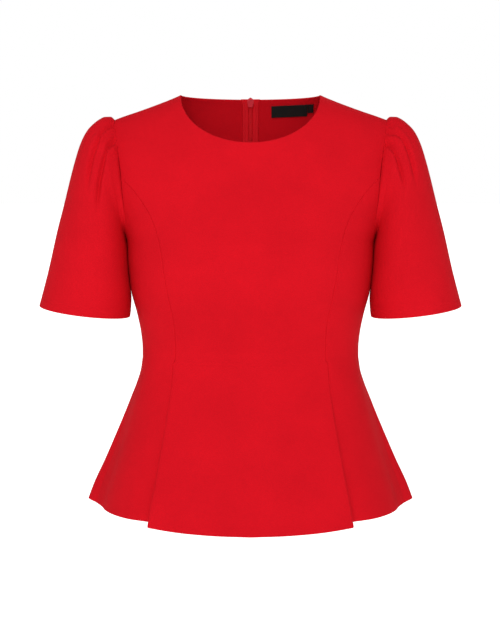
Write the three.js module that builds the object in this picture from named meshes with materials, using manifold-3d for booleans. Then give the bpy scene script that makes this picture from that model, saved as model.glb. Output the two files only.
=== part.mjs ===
// A short-sleeved peplum blouse in heavy crepe jersey, standing hollow as it does when worn.
// Round neck, long seams from the armholes over the bust to the hem, a hem flared out in flutes from the waist,
// gathered sleeve heads, a concealed zip down the centre back, and two woven labels inside the back neck.
// Millimetres. +Z is up, -Y is the front, +X is the wearer's left. The origin lies between the two points
// where the shoulder seams meet the neck, which is where a wearer's shoulders hold the blouse up.
import * as THREE from "three";
import { mergeVertices } from "three/addons/utils/BufferGeometryUtils.js";
import Module from "manifold-3d";

// Driving sizes
const CLOTH = 1.6; // thickness of the cloth wall
const SEAM_GAP = 0.3; // clearance between two pieces at a seam
const WAIST_Z = -358;
const NECK_HALF = 94.5; // half of the neck's width, along the shoulder line
const NECK_DROP = { front: 63.3, back: 5.6 };
const SHOULDER_X = 185; // the shoulder seam's outer end
const SHOULDER_ROUND = 110; // height over which the shoulder rounds off into chest and back
const PRINCESS_Z = -109.5; // where the long seams leave the armhole
const UNDERARM_Z = -200;
const FRONT = -1;
const BACK = 1;

// The torso's level rings: half width, depth in front and behind, and how square the front and back are
// (2 is an ellipse).
const TORSO = [
  { z: -358, half: 148.8, front: 103, back: 84, squareFront: 2.4, squareBack: 2.4 },
  { z: -345, half: 148.8, front: 103.5, back: 84, squareFront: 2.4, squareBack: 2.4 },
  { z: -327, half: 150.3, front: 107, back: 85.5, squareFront: 2.42, squareBack: 2.4 },
  { z: -300, half: 155.2, front: 115, back: 89.5, squareFront: 2.5, squareBack: 2.4 },
  { z: -263, half: 164.3, front: 126, back: 95.5, squareFront: 2.6, squareBack: 2.4 },
  { z: -230, half: 167.8, front: 129, back: 99.5, squareFront: 2.6, squareBack: 2.4 },
  { z: -200, half: 169, front: 125, back: 102, squareFront: 2.5, squareBack: 2.4 },
  { z: -175, half: 179, front: 117, back: 102, squareFront: 2.4, squareBack: 2.35 },
  { z: -140, half: 195, front: 105, back: 99, squareFront: 2.3, squareBack: 2.3 },
  { z: -110, half: 203, front: 94, back: 94, squareFront: 2.3, squareBack: 2.3 },
  { z: -75, half: 209, front: 84, back: 86, squareFront: 2.3, squareBack: 2.3 },
  { z: -36, half: 213, front: 76, back: 77, squareFront: 2.3, squareBack: 2.3 },
  { z: 0, half: 215, front: 72, back: 70, squareFront: 2.3, squareBack: 2.3 },
];

// The shoulder seam's height over its distance from the centre
const SHOULDER = [
  { x: 0, z: 38 },
  { x: 15, z: 37.6 },
  { x: 40, z: 32 },
  { x: 70, z: 17 },
  { x: 94.5, z: 0 },
  { x: 109, z: -6.4 },
  { x: 129, z: -14.1 },
  { x: 154, z: -23.1 },
  { x: 173, z: -29.5 },
  { x: 185, z: -34 },
  { x: 215, z: -46.5 },
];

// The armhole seams, from the shoulder seam down to the underarm: x is the distance from the centre
const ARMHOLE = {
  [FRONT]: [
    { z: -34, x: 185 },
    { z: -52, x: 182 },
    { z: -71, x: 179.2 },
    { z: -93, x: 176 },
    { z: -109.5, x: 174 },
    { z: -135, x: 171.5 },
    { z: -160, x: 169 },
    { z: -180, x: 167.5 },
    { z: -193, x: 168.4 },
    { z: -200, x: 169 },
  ],
  [BACK]: [
    { z: -34, x: 185 },
    { z: -52, x: 183 },
    { z: -71, x: 181 },
    { z: -93, x: 178.5 },
    { z: -109.5, x: 176.5 },
    { z: -135, x: 173.5 },
    { z: -160, x: 170.5 },
    { z: -180, x: 168 },
    { z: -193, x: 168.6 },
    { z: -200, x: 169 },
  ],
};

// The long seams from waist to armhole: x is the distance from the centre
const PRINCESS = {
  [FRONT]: [
    { z: -358, x: 101 },
    { z: -339, x: 100.3 },
    { z: -321, x: 100.5 },
    { z: -297, x: 102.7 },
    { z: -270, x: 108.2 },
    { z: -238, x: 113.8 },
    { z: -209, x: 118 },
    { z: -183, x: 124 },
    { z: -160, x: 133 },
    { z: -142, x: 144.5 },
    { z: -124, x: 159 },
    { z: -109.5, x: 174 },
  ],
  [BACK]: [
    { z: -358, x: 84 },
    { z: -321, x: 84 },
    { z: -270, x: 92 },
    { z: -209, x: 107 },
    { z: -160, x: 128 },
    { z: -130, x: 152 },
    { z: -109.5, x: 176.5 },
  ],
};

// The share of the centre line that lies below each level of a centre panel: the waist, the top of the long
// seam, the shoulder seam's outer end and the neck
const CENTRE_RISE = [
  { up: 1, share: 0 },
  { up: 2, share: 0.74 },
  { up: 3, share: 0.86 },
  { up: 4, share: 1 },
];

// How much of the flare each level below the waist has, from the waist (0) to the hem (1)
const FLARE = [
  { down: 0, share: 0 },
  { down: 0.087, share: 0.04 },
  { down: 0.18, share: 0.115 },
  { down: 0.285, share: 0.222 },
  { down: 0.414, share: 0.354 },
  { down: 0.566, share: 0.519 },
  { down: 0.73, share: 0.702 },
  { down: 0.884, share: 0.887 },
  { down: 1, share: 1 },
];

// The hem of each panel. across runs over the panel, angle is the place on the waist's ring in degrees from
// the centre front or back, and x, y, z is the hem there. Each long seam lies in the hollow behind a flute.
const HEM = {
  frontCentre: [
    { across: 0, angle: 0, x: 0, y: -172, z: -574.8 },
    { across: 0.25, angle: 9.5, x: 38, y: -171.5, z: -573.7 },
    { across: 0.5, angle: 21, x: 80, y: -169.5, z: -571 },
    { across: 0.7, angle: 31, x: 108, y: -166.5, z: -568 },
    { across: 0.86, angle: 37.6, x: 128.5, y: -162.5, z: -565.2 },
    { across: 0.94, angle: 39.4, x: 135.5, y: -158, z: -564.4 },
    { across: 0.97, angle: 40, x: 134.5, y: -150, z: -564 },
    { across: 1, angle: 40.6, x: 127.5, y: -139, z: -563.2 },
  ],
  frontSide: [
    { across: 0, angle: 40.6, x: 127.5, y: -139, z: -563.2 },
    { across: 0.1, angle: 43, x: 135, y: -132.5, z: -563 },
    { across: 0.35, angle: 54, x: 163, y: -114, z: -563 },
    { across: 0.62, angle: 67, x: 188, y: -83, z: -562.8 },
    { across: 0.78, angle: 75, x: 199, y: -58, z: -562.8 },
    { across: 0.89, angle: 82, x: 204.5, y: -36, z: -563 },
    { across: 1, angle: 90, x: 214.5, y: -12, z: -562 },
  ],
  backSide: [
    { across: 0, angle: 90, x: 214.5, y: -12, z: -562 },
    { across: 0.12, angle: 84, x: 226.8, y: 6, z: -559.4 },
    { across: 0.25, angle: 77, x: 223.5, y: 27, z: -559.8 },
    { across: 0.5, angle: 63, x: 201, y: 66, z: -560.5 },
    { across: 0.75, angle: 49, x: 166, y: 99, z: -561 },
    { across: 0.92, angle: 37, x: 134, y: 120, z: -561.3 },
    { across: 1, angle: 33.5, x: 120, y: 127, z: -561.5 },
  ],
  backCentre: [
    { across: 0, angle: 0, x: 0, y: 160, z: -571 },
    { across: 0.1, angle: 4.6, x: 17, y: 160, z: -570.8 },
    { across: 0.5, angle: 18, x: 74, y: 157.5, z: -568 },
    { across: 0.72, angle: 26.5, x: 104, y: 153.5, z: -565 },
    { across: 0.86, angle: 31, x: 121.5, y: 149, z: -563.2 },
    { across: 0.94, angle: 32.4, x: 128.5, y: 145, z: -562.7 },
    { across: 0.97, angle: 33, x: 127.5, y: 137.5, z: -562.2 },
    { across: 1, angle: 33.5, x: 120, y: 127, z: -561.5 },
  ],
};

// The sleeve's rings by their distance from the armhole seam over the top of the arm: the point over the arm,
// the point under it, the half depth in front and behind, and how much of the armhole's own shape is left
const SLEEVE = [
  { from: 0, overX: 185, overY: 0, overZ: -34, underX: 169, underY: 0, underZ: -200, front: 57, back: 58, armhole: 1 },
  { from: 8, overX: 190.8, overY: 0, overZ: -28.6, underX: 169.5, underY: 0, underZ: -196.4, front: 59.5, back: 60.5, armhole: 0.78 },
  { from: 15, overX: 198.4, overY: 0, overZ: -28.8, underX: 170.9, underY: 0, underZ: -195.2, front: 61.3, back: 62.3, armhole: 0.42 },
  { from: 22, overX: 205, overY: 0, overZ: -31.8, underX: 171.6, underY: -1, underZ: -197.5, front: 62.4, back: 63.4, armhole: 0.2 },
  { from: 31, overX: 212.3, overY: -0.5, overZ: -37.4, underX: 171, underY: -4, underZ: -203, front: 63.2, back: 64.4, armhole: 0.07 },
  { from: 45, overX: 222.3, overY: -1, overZ: -48, underX: 169.4, underY: -11, underZ: -213, front: 64, back: 65.5, armhole: 0 },
  { from: 64, overX: 231.3, overY: -2, overZ: -65, underX: 167.7, underY: -20, underZ: -228, front: 64, back: 66, armhole: 0 },
  { from: 92, overX: 240.1, overY: -3.5, overZ: -92.3, underX: 166.5, underY: -29, underZ: -243, front: 63.5, back: 65, armhole: 0 },
  { from: 117, overX: 246.6, overY: -5, overZ: -117, underX: 165.4, underY: -34, underZ: -254, front: 63, back: 64.5, armhole: 0 },
  { from: 141, overX: 252.4, overY: -6, overZ: -140.4, underX: 164.4, underY: -36, underZ: -264, front: 63, back: 64.5, armhole: 0 },
  { from: 186, overX: 263.8, overY: -8, overZ: -184, underX: 163.8, underY: -37, underZ: -278, front: 63.5, back: 65, armhole: 0 },
  { from: 242, overX: 276.5, overY: -9, overZ: -238.5, underX: 164, underY: -35, underZ: -291, front: 65, back: 66, armhole: 0 },
  { from: 293, overX: 289.5, overY: -10, overZ: -287, underX: 164.6, underY: -32, underZ: -302, front: 66, back: 67, armhole: 0 },
];
// The gathers in each sleeve head. round is where a hollow meets the seam, in degrees from the top towards
// the front (plus) or the back (minus), turn how far it has drifted at its end, reach how long it is.
const GATHERS = [
  { round: 60, turn: 18, deep: 1.8, wide: 4.5, reach: 32 },
  { round: 44, turn: 27, deep: 4.4, wide: 5.5, reach: 68 },
  { round: 31, turn: 22, deep: 2.2, wide: 4.5, reach: 34 },
  { round: 18, turn: 27, deep: 4, wide: 6, reach: 80 },
  { round: 4, turn: 6, deep: 2, wide: 5, reach: 30 },
  { round: -12, turn: -14, deep: 3, wide: 5.5, reach: 58 },
  { round: -27, turn: -22, deep: 2.2, wide: 4.5, reach: 38 },
  { round: -42, turn: -26, deep: 4, wide: 6, reach: 72 },
  { round: -58, turn: -18, deep: 2, wide: 4.5, reach: 34 },
];
const GATHER_RISE = 6; // distance from the seam over which the hollows open

// Rows and columns of each panel's mesh, as shares of their stretch
const ROWS = {
  skirt: [0, 0.12, 0.27, 0.43, 0.59, 0.74, 0.88],
  bodice: [0, 0.11, 0.22, 0.33, 0.44, 0.55, 0.66, 0.77, 0.88],
  armhole: [0, 0.07, 0.14, 0.21, 0.28, 0.35, 0.42, 0.49, 0.56, 0.63, 0.7, 0.77, 0.84, 0.92],
  shoulder: [0, 0.22, 0.42, 0.62, 0.81, 1],
};
const COLUMNS = {
  frontCentre: [0, 0.14, 0.28, 0.42, 0.55, 0.67, 0.77, 0.86, 0.92, 0.95, 0.975, 1],
  backCentre: [0, 0.12, 0.26, 0.4, 0.54, 0.67, 0.77, 0.86, 0.92, 0.955, 0.98, 1],
  frontSide: [0, 0.1, 0.22, 0.35, 0.49, 0.63, 0.76, 0.87, 0.94, 1],
  backSide: [0, 0.07, 0.16, 0.27, 0.4, 0.54, 0.68, 0.8, 0.91, 1],
};

// Zip, slider, pull and labels
const ZIP = { length: 430, tapeWidth: 11, tape: 0.7, edge: 0.2, above: 1.4, coilWidth: 1.6, coil: 1.6 };
const SLIDER = {
  wide: 9.6, narrow: 6, tall: 14, thick: 3.4, below: -4.6, neck: 1.4, fin: 7.5, eyeOut: 3.2, lug: 2.2, eye: 1.2,
  clear: 0.9,
};
const SLIDER_SLOT = { half: 1.1, tall: 16, closes: 14 }; // where the back edges part for the slider's fin
const PULL = { long: 25, wide: 6.4, thick: 1.3, bar: 0.7, window: 3.2, windowTall: 3.6, clear: 0.35 };
const LABEL = { from: 29.5, to: 79.5, topFrom: -13.7, topTo: -11.3, tall: 16.2, thick: 0.8, gap: 1.2 };
const SIZE_TAB = { from: 80.3, to: 88.3, topFrom: -11.3, topTo: -10.9, tall: 11.6, thick: 0.8, gap: 1.2 };

// Smooth curve through a table's rows, without overshoot: the value of column name where column by is at
function curveOf(table, by, name) {
  const rows = [...table].sort((a, b) => a[by] - b[by]);
  const x = rows.map((r) => r[by]);
  const y = rows.map((r) => r[name]);
  const last = x.length - 1;
  const step = x.slice(1).map((v, i) => (y[i + 1] - y[i]) / (v - x[i]));
  const slope = x.map((_, i) => {
    if (i === 0) return step[0];
    if (i === last) return step[last - 1];
    if (step[i - 1] * step[i] <= 0) return 0;
    const before = x[i] - x[i - 1];
    const after = x[i + 1] - x[i];
    const weightA = 2 * after + before;
    const weightB = after + 2 * before;
    return (weightA + weightB) / (weightA / step[i - 1] + weightB / step[i]);
  });
  return (at) => {
    let i = 0;
    while (i < last - 1 && at > x[i + 1]) i++;
    const width = x[i + 1] - x[i];
    const t = Math.min(1, Math.max(0, (at - x[i]) / width));
    const t2 = t * t;
    const t3 = t2 * t;
    return (
      (2 * t3 - 3 * t2 + 1) * y[i] +
      (t3 - 2 * t2 + t) * width * slope[i] +
      (3 * t2 - 2 * t3) * y[i + 1] +
      (t3 - t2) * width * slope[i + 1]
    );
  };
}

const mix = (a, b, t) => a + (b - a) * t;
const radians = (degrees) => (degrees * Math.PI) / 180;
const degrees = (angle) => (angle * 180) / Math.PI;

const halfAt = curveOf(TORSO, "z", "half");
const depthAt = { [FRONT]: curveOf(TORSO, "z", "front"), [BACK]: curveOf(TORSO, "z", "back") };
const squareAt = {
  [FRONT]: curveOf(TORSO, "z", "squareFront"),
  [BACK]: curveOf(TORSO, "z", "squareBack"),
};
const shoulderAt = curveOf(SHOULDER, "x", "z");
const flareAt = curveOf(FLARE, "down", "share");

const quarter = (SHOULDER_ROUND * Math.PI) / 2;

// How far round the shoulder a height lies: 0 on the shoulder seam, 1 where chest and back take over
function shoulderShare(x, z) {
  return Math.min(1, Math.max(0, (shoulderAt(x) - z) / SHOULDER_ROUND));
}

// The torso's surface at a distance from the centre and a height
function torsoAt(side, x, z) {
  const square = squareAt[side](z);
  const across = Math.min(1, x / halfAt(z));
  const rounded = Math.sqrt(1 - (1 - shoulderShare(x, z)) ** 2);
  const y = side * depthAt[side](z) * Math.max(0, 1 - across ** square) ** (1 / square) * rounded;
  return new THREE.Vector3(x, y, z);
}

// The same, by the angle round from the centre front (or back) to the side
function torsoTurned(side, angle, z) {
  const turn = radians(Math.min(90, Math.max(0, angle)));
  return torsoAt(side, halfAt(z) * Math.sin(turn) ** (2 / squareAt[side](z)), z);
}

function angleOf(side, x, z) {
  const share = Math.min(1, Math.max(0, x / halfAt(z)));
  return degrees(Math.asin(share ** (squareAt[side](z) / 2)));
}

function torsoNormal(side, x, z) {
  const square = squareAt[side](z);
  const half = halfAt(z);
  const depth = depthAt[side](z);
  const halfSlope = halfAt(z + 0.5) - halfAt(z - 0.5);
  const depthSlope = depthAt[side](z + 0.5) - depthAt[side](z - 0.5);
  const across = Math.min(1, x / half);
  const forward = Math.max(0, 1 - across ** square) ** (1 / square);
  const share = shoulderShare(x, z);
  const rounded = Math.sqrt(1 - (1 - share) ** 2);
  const turnIn = (forward ** square * (1 - share)) / SHOULDER_ROUND;
  const seamSlope = shoulderAt(x + 0.5) - shoulderAt(x - 0.5);
  return new THREE.Vector3(
    (rounded ** 2 * across ** (square - 1)) / half - turnIn * seamSlope,
    (side * forward ** (square - 1) * rounded) / depth,
    turnIn -
      rounded ** 2 * ((across ** square * halfSlope) / half + (forward ** square * depthSlope) / depth),
  ).normalize();
}

// Height measured over the rounded shoulder instead of straight up, 0 on the shoulder seam
function unrolled(x, z) {
  const below = Math.max(0, shoulderAt(x) - z);
  if (below > SHOULDER_ROUND) return -(quarter + below - SHOULDER_ROUND);
  return -SHOULDER_ROUND * Math.acos(1 - below / SHOULDER_ROUND);
}

function rolled(x, height) {
  const run = Math.max(0, -height);
  if (run > quarter) return shoulderAt(x) - SHOULDER_ROUND - (run - quarter);
  return shoulderAt(x) - SHOULDER_ROUND * (1 - Math.cos(run / SHOULDER_ROUND));
}

// The armhole seam by its length, from the shoulder seam (0) to the underarm (1)
function armholeSeam(side) {
  const xAt = curveOf(ARMHOLE[side], "z", "x");
  const top = ARMHOLE[side][0].z;
  const samples = 240;
  const rows = [];
  let length = 0;
  for (let i = 0; i <= samples; i++) {
    const z = mix(top, UNDERARM_Z, (1 - Math.cos((Math.PI * i) / samples)) / 2);
    const point = torsoAt(side, i === samples ? halfAt(z) : xAt(z), z);
    if (i === 0) point.y = 0;
    if (i > 0) length += point.distanceTo(rows[i - 1].point);
    rows.push({ point, length });
  }
  const at = (along) => {
    const wanted = along * length;
    let i = 1;
    while (i < samples && rows[i].length < wanted) i++;
    const a = rows[i - 1];
    const b = rows[i];
    const point = a.point.clone().lerp(b.point, (wanted - a.length) / (b.length - a.length));
    return along > 0 && along < 1 ? torsoAt(side, point.x, point.z) : point;
  };
  const onSeam = rows.find((r) => r.point.z <= PRINCESS_Z);
  return { at, princessAlong: onSeam.length / length, length };
}

const armholes = { [FRONT]: armholeSeam(FRONT), [BACK]: armholeSeam(BACK) };
const princessX = {};
for (const side of [FRONT, BACK]) {
  const meet = armholes[side].at(armholes[side].princessAlong);
  const rows = PRINCESS[side].slice(0, -1).concat([{ z: meet.z, x: meet.x }]);
  princessX[side] = { at: curveOf(rows, "z", "x"), top: meet };
}

// A panel's surface below the waist, where up runs from the hem (0) to the waist (1)
function skirtSurface(side, hem) {
  const at = {};
  for (const name of ["angle", "x", "y", "z"]) at[name] = curveOf(hem, "across", name);
  return (across, up) => {
    const down = 1 - up;
    const waist = torsoTurned(side, at.angle(across), WAIST_Z);
    const share = flareAt(down);
    return new THREE.Vector3(
      mix(waist.x, at.x(across), share),
      mix(waist.y, at.y(across), share),
      mix(WAIST_Z, at.z(across), down),
    );
  };
}

// Normal of a surface that is known by its points only, from a small step that stays on the panel
function normalByStep(point, across, up, winding) {
  const step = 1e-3;
  const alongAcross = point(Math.min(1, across + step), up).sub(point(Math.max(0, across - step), up));
  const alongUp = point(across, Math.min(1, up + step)).sub(point(across, Math.max(0, up - step)));
  return alongAcross.cross(alongUp).multiplyScalar(winding).normalize();
}

// A centre panel: across runs from the centre line (0) to the long seam (1), and up over the skirt (0 to 1),
// beside the long seam (1 to 2), the armhole (2 to 3) and the shoulder seam (3 to 4), where the neck is the top
const riseAt = curveOf(CENTRE_RISE, "up", "share");

function centrePanel(side, hem, winding) {
  const skirt = skirtSurface(side, hem);
  const waistAngle = curveOf(hem, "across", "angle");
  const drop = side === FRONT ? NECK_DROP.front : NECK_DROP.back;
  const armhole = armholes[side];
  const seam = princessX[side];
  const flat = (x, z) => ({ x, h: unrolled(x, z) });
  const bottom = (across) => flat(torsoTurned(side, waistAngle(across), WAIST_Z).x, WAIST_Z);
  const neck = (across) => {
    const turn = (across * Math.PI) / 2;
    return flat(NECK_HALF * Math.sin(turn), -drop * Math.cos(turn));
  };
  const edge = (up) => {
    if (up <= 2) {
      const z = mix(WAIST_Z, seam.top.z, up - 1);
      return flat(seam.at(z), z);
    }
    if (up <= 3) {
      const point = armhole.at(armhole.princessAlong * (3 - up));
      return flat(point.x, point.z);
    }
    return { x: mix(SHOULDER_X, NECK_HALF, up - 3), h: 0 };
  };
  const place = (across, up) => {
    const rise = riseAt(up);
    const above = Math.max(0, up - 2) / 2;
    const t = above * above * (3 - 2 * above);
    const b = bottom(across);
    const n = neck(across);
    const e = edge(up);
    const b0 = bottom(0);
    const b1 = bottom(1);
    const n0 = neck(0);
    const n1 = { x: NECK_HALF, h: 0 };
    const blend = (name) =>
      (1 - t) * b[name] +
      t * n[name] +
      (1 - across) * mix(b0[name], n0[name], rise) +
      across * e[name] -
      (1 - t) * mix(b0[name], b1[name], across) -
      t * mix(n0[name], n1[name], across);
    const x = Math.max(0, blend("x"));
    return { x, z: rolled(x, blend("h")) };
  };
  return {
    point(across, up) {
      if (up <= 1) return skirt(across, up);
      if (across === 1 && up > 2 && up < 3) return armhole.at(armhole.princessAlong * (3 - up));
      const at = place(across, up);
      return torsoAt(side, at.x, at.z);
    },
    normal(across, up) {
      if (up < 1) return normalByStep(skirt, across, up, winding);
      const at = place(across, up);
      return torsoNormal(side, at.x, at.z);
    },
  };
}

// A side panel: across runs from its start to its end, of which one is the long seam and one the side seam,
// and up over the skirt (0 to 1) and the bodice (1 to 2), where the armhole is the top
function sidePanel(side, hem, seamFirst, winding) {
  const skirt = skirtSurface(side, hem);
  const waistAngle = curveOf(hem, "across", "angle");
  const armhole = armholes[side];
  const seam = princessX[side];
  const topAlong = (across) => mix(armhole.princessAlong, 1, seamFirst ? across : 1 - across);
  const place = (across, up) => {
    const rise = up - 1;
    const top = armhole.at(topAlong(across));
    const seamZ = mix(WAIST_Z, seam.top.z, rise);
    const straight = mix(waistAngle(seamFirst ? 0 : 1), angleOf(side, seam.top.x, seam.top.z), rise);
    const pull = angleOf(side, seam.at(seamZ), seamZ) - straight;
    const topAngle = topAlong(across) === 1 ? 90 : angleOf(side, top.x, top.z);
    const fromSeam = seamFirst ? across : 1 - across;
    return {
      angle: mix(waistAngle(across), topAngle, rise) + (1 - fromSeam) * pull,
      z: mix(WAIST_Z, top.z, rise),
    };
  };
  return {
    point(across, up) {
      if (up <= 1) return skirt(across, up);
      if (up === 2) return armhole.at(topAlong(across));
      const at = place(across, up);
      return torsoTurned(side, at.angle, at.z);
    },
    normal(across, up) {
      if (up < 1) return normalByStep(skirt, across, up, winding);
      const at = place(across, up);
      return torsoNormal(side, torsoTurned(side, at.angle, at.z).x, at.z);
    },
    topAlong,
  };
}

const panels = {
  frontCentre: centrePanel(FRONT, HEM.frontCentre, 1),
  frontSide: sidePanel(FRONT, HEM.frontSide, true, 1),
  backSide: sidePanel(BACK, HEM.backSide, false, 1),
  backCentre: centrePanel(BACK, HEM.backCentre, -1),
};

// The sleeve: side and along say where on the armhole a thread starts, and from how far out it has come
const sleeveAt = {};
for (const name of Object.keys(SLEEVE[0]).slice(1)) {
  sleeveAt[name] = curveOf(SLEEVE, "from", name);
}
const SLEEVE_LENGTH = SLEEVE[SLEEVE.length - 1].from;

function sleeveRing(side, round, from) {
  const over = new THREE.Vector3(sleeveAt.overX(from), sleeveAt.overY(from), sleeveAt.overZ(from));
  const under = new THREE.Vector3(sleeveAt.underX(from), sleeveAt.underY(from), sleeveAt.underZ(from));
  const centre = over.clone().lerp(under, 0.5);
  const depth = side === FRONT ? sleeveAt.front(from) : sleeveAt.back(from);
  const point = centre.clone().addScaledVector(over.sub(centre), Math.cos(round));
  point.y += side * depth * Math.sin(round);
  return { point, centre };
}

// The angle round the arm, 0 on top and 180 under it, at which a point of the armhole lies
function roundOf(side, point) {
  const start = sleeveRing(side, 0, 0);
  const axis = start.point.clone().sub(start.centre);
  const up = point.clone().sub(start.centre).dot(axis) / axis.lengthSq();
  return Math.atan2(Math.abs(point.y) / SLEEVE[0][side === FRONT ? "front" : "back"], up);
}

function sleevePoint(side, along, from) {
  const seam = armholes[side].at(along);
  const round = along === 0 ? 0 : along === 1 ? Math.PI : roundOf(side, seam);
  const start = sleeveRing(side, round, 0);
  const ring = sleeveRing(side, round, from);
  const point = ring.point.addScaledVector(seam.sub(start.point), sleeveAt.armhole(from));
  const signed = -side * degrees(round);
  let hollow = 0;
  for (const g of GATHERS) {
    const run = from / g.reach;
    if (run >= 1) continue;
    const open = (1 - Math.exp(-from / GATHER_RISE)) * (1 - run * run * (3 - 2 * run));
    const off = (signed - g.round - g.turn * run) / g.wide;
    hollow += g.deep * open * Math.exp(-off * off);
  }
  const inward = ring.centre.sub(point).normalize();
  return point.addScaledVector(inward, hollow);
}

// Normal of the sleeve, facing out. Front and back meet on the top and underarm lines.
function sleeveNormal(side, along, from) {
  const stepAlong = 2e-3;
  const ahead = along + stepAlong <= 1 ? sleevePoint(side, along + stepAlong, from) : null;
  const behind = along - stepAlong >= 0 ? sleevePoint(side, along - stepAlong, from) : null;
  const across = sleevePoint(-side, along === 0 ? stepAlong : 1 - stepAlong, from);
  const alongRing = (ahead ?? across).sub(behind ?? across);
  const next = sleevePoint(side, along, Math.min(SLEEVE_LENGTH, from + 0.5));
  const alongArm = next.sub(sleevePoint(side, along, Math.max(0, from - 0.5)));
  return alongRing.cross(alongArm).multiplyScalar(-side).normalize();
}

// A net of points with their normals. seam says which of its edges are sewn to another piece.
function panelNet(panel, ups, columns, seam) {
  const rows = ups.map((up) =>
    columns.map((across) => {
      const point = panel.point(across, up);
      const normal = panel.normal(across, up);
      if (point.x < 1e-6) normal.setX(0).normalize();
      return { point, normal };
    }),
  );
  return { rows, seam };
}

const rowsOfSkirt = ROWS.skirt;
const sideUps = rowsOfSkirt.concat(ROWS.bodice.map((v) => 1 + v), [2]);
const centreUps = rowsOfSkirt.concat(
  ROWS.bodice.map((v) => 1 + v),
  ROWS.armhole.map((v) => 2 + v),
  ROWS.shoulder.map((v) => 3 + v),
);

const nets = {
  front_centre: panelNet(panels.frontCentre, centreUps, COLUMNS.frontCentre, { end: true }),
  front_side: panelNet(panels.frontSide, sideUps, COLUMNS.frontSide, { start: true, end: true, top: true }),
  back_side: panelNet(panels.backSide, sideUps, COLUMNS.backSide, { start: true, end: true, top: true }),
  back_centre: panelNet(panels.backCentre, centreUps, COLUMNS.backCentre, { start: true, end: true }),
};

// The threads of the sleeve start where the panels' edges have their points
function sleeveThreads() {
  const threads = [];
  for (const side of [FRONT, BACK]) {
    const panel = side === FRONT ? panels.frontSide : panels.backSide;
    const columns = side === FRONT ? COLUMNS.frontSide : COLUMNS.backSide;
    const alongs = ROWS.armhole.map((v) => armholes[side].princessAlong * (1 - v)).concat([0]);
    for (const across of columns) {
      const along = panel.topAlong(across);
      if (along > armholes[side].princessAlong + 1e-9) alongs.push(along);
    }
    alongs.sort((a, b) => a - b);
    const half = alongs.map((along) => ({ side, along }));
    if (side === FRONT) threads.push(...half);
    else threads.push(...half.slice(1, -1).reverse());
  }
  return threads;
}

const threads = sleeveThreads();
nets.sleeve = {
  rows: SLEEVE.map(({ from }) =>
    threads.map(({ side, along }) => ({
      point: sleevePoint(side, along, from),
      normal: sleeveNormal(side, along, from),
    })),
  ),
  seam: { bottom: true },
  round: true,
};

// Pieces that meet at a seam share the direction of their walls there, so that the gap is even
const keyOf = (point) => point.toArray().map((v) => Math.round(v * 50)).join();
const shared = new Map();
for (const net of Object.values(nets)) {
  net.rows.forEach((row, i) =>
    row.forEach((vertex, j) => {
      const isEnd = !net.round && (j === 0 || j === row.length - 1);
      if (!isEnd && i !== 0 && i !== net.rows.length - 1) return;
      const key = keyOf(vertex.point);
      if (!shared.has(key)) shared.set(key, { pieces: 0, facings: [] });
      const entry = shared.get(key);
      entry.pieces += 1;
      if (entry.facings.every((n) => n.dot(vertex.normal) < 0.995)) entry.facings.push(vertex.normal);
    }),
  );
}

// Half of the opening between the two back edges: they part at the top, round the zip's slider
function backEdgeGap(z) {
  const below = -NECK_DROP.back - z;
  const closing = Math.min(1, Math.max(0, (below - SLIDER_SLOT.tall) / SLIDER_SLOT.closes));
  return mix(SLIDER_SLOT.half, SEAM_GAP / 2, closing);
}

// Outer and inner faces of a net: seam edges drawn back by half of the gap, walls CLOTH thick
function facesOf(net, gapOf = () => SEAM_GAP / 2) {
  const { rows, seam, round } = net;
  const top = rows.length - 1;
  const end = rows[0].length - 1;
  const count = rows[0].length;
  const at = (i, j) => rows[i][round ? (j + count) % count : j].point;
  const outer = [];
  const inner = [];
  for (let i = 0; i <= top; i++) {
    outer.push([]);
    inner.push([]);
    for (let j = 0; j <= end; j++) {
      const { point, normal } = rows[i][j];
      const entry = shared.get(keyOf(point));
      const onEdge = (!round && (j === 0 || j === end)) || i === 0 || i === top;
      const sewn = onEdge && entry && entry.pieces > 1;
      const facing = new THREE.Vector3();
      for (const n of sewn ? entry.facings : [normal]) facing.add(n);
      const mitre = sewn ? Math.max(0.55, facing.length() / entry.facings.length) : 1;
      if (point.x < 1e-6) facing.setX(0);
      facing.normalize();
      const draws = [];
      const addDraw = (along, into) => {
        const draw = along.clone().cross(facing).normalize();
        if (draw.dot(into) < 0) draw.negate();
        draws.push(draw);
      };
      if ((!round && j === 0 && seam.start) || (!round && j === end && seam.end)) {
        const into = at(i, j === 0 ? 1 : end - 1).clone().sub(point);
        if (i > 0) addDraw(point.clone().sub(at(i - 1, j)), into);
        if (i < top) addDraw(at(i + 1, j).clone().sub(point), into);
      }
      if ((i === top && seam.top) || (i === 0 && seam.bottom)) {
        const into = at(i === 0 ? 1 : top - 1, j).clone().sub(point);
        if (round || j > 0) addDraw(point.clone().sub(at(i, j - 1)), into);
        if (round || j < end) addDraw(at(i, j + 1).clone().sub(point), into);
      }
      const moved = point.clone();
      if (draws.length) {
        const gap = !round && j === 0 && seam.start ? gapOf(point) : SEAM_GAP / 2;
        const first = draws[0];
        const last = draws[draws.length - 1];
        const spread = Math.max(0.2, 1 + first.dot(last));
        moved.addScaledVector(first, gap / spread).addScaledVector(last, gap / spread);
      }
      outer[i].push(moved);
      inner[i].push(moved.clone().addScaledVector(facing, -CLOTH / mitre));
    }
  }
  return { outer, inner, round };
}

const mirrored = (point) => new THREE.Vector3(-point.x, point.y, point.z);

// Both halves of a piece that lies across the centre line
function joinHalves({ outer, inner }) {
  const both = (rows) => rows.map((row) => row.slice(1).reverse().map(mirrored).concat(row));
  return { outer: both(outer), inner: both(inner) };
}

function mirrorGeometry(geometry) {
  const copy = geometry.clone().scale(-1, 1, 1);
  return copy.setIndex(turned([...copy.index.array]));
}

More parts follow.
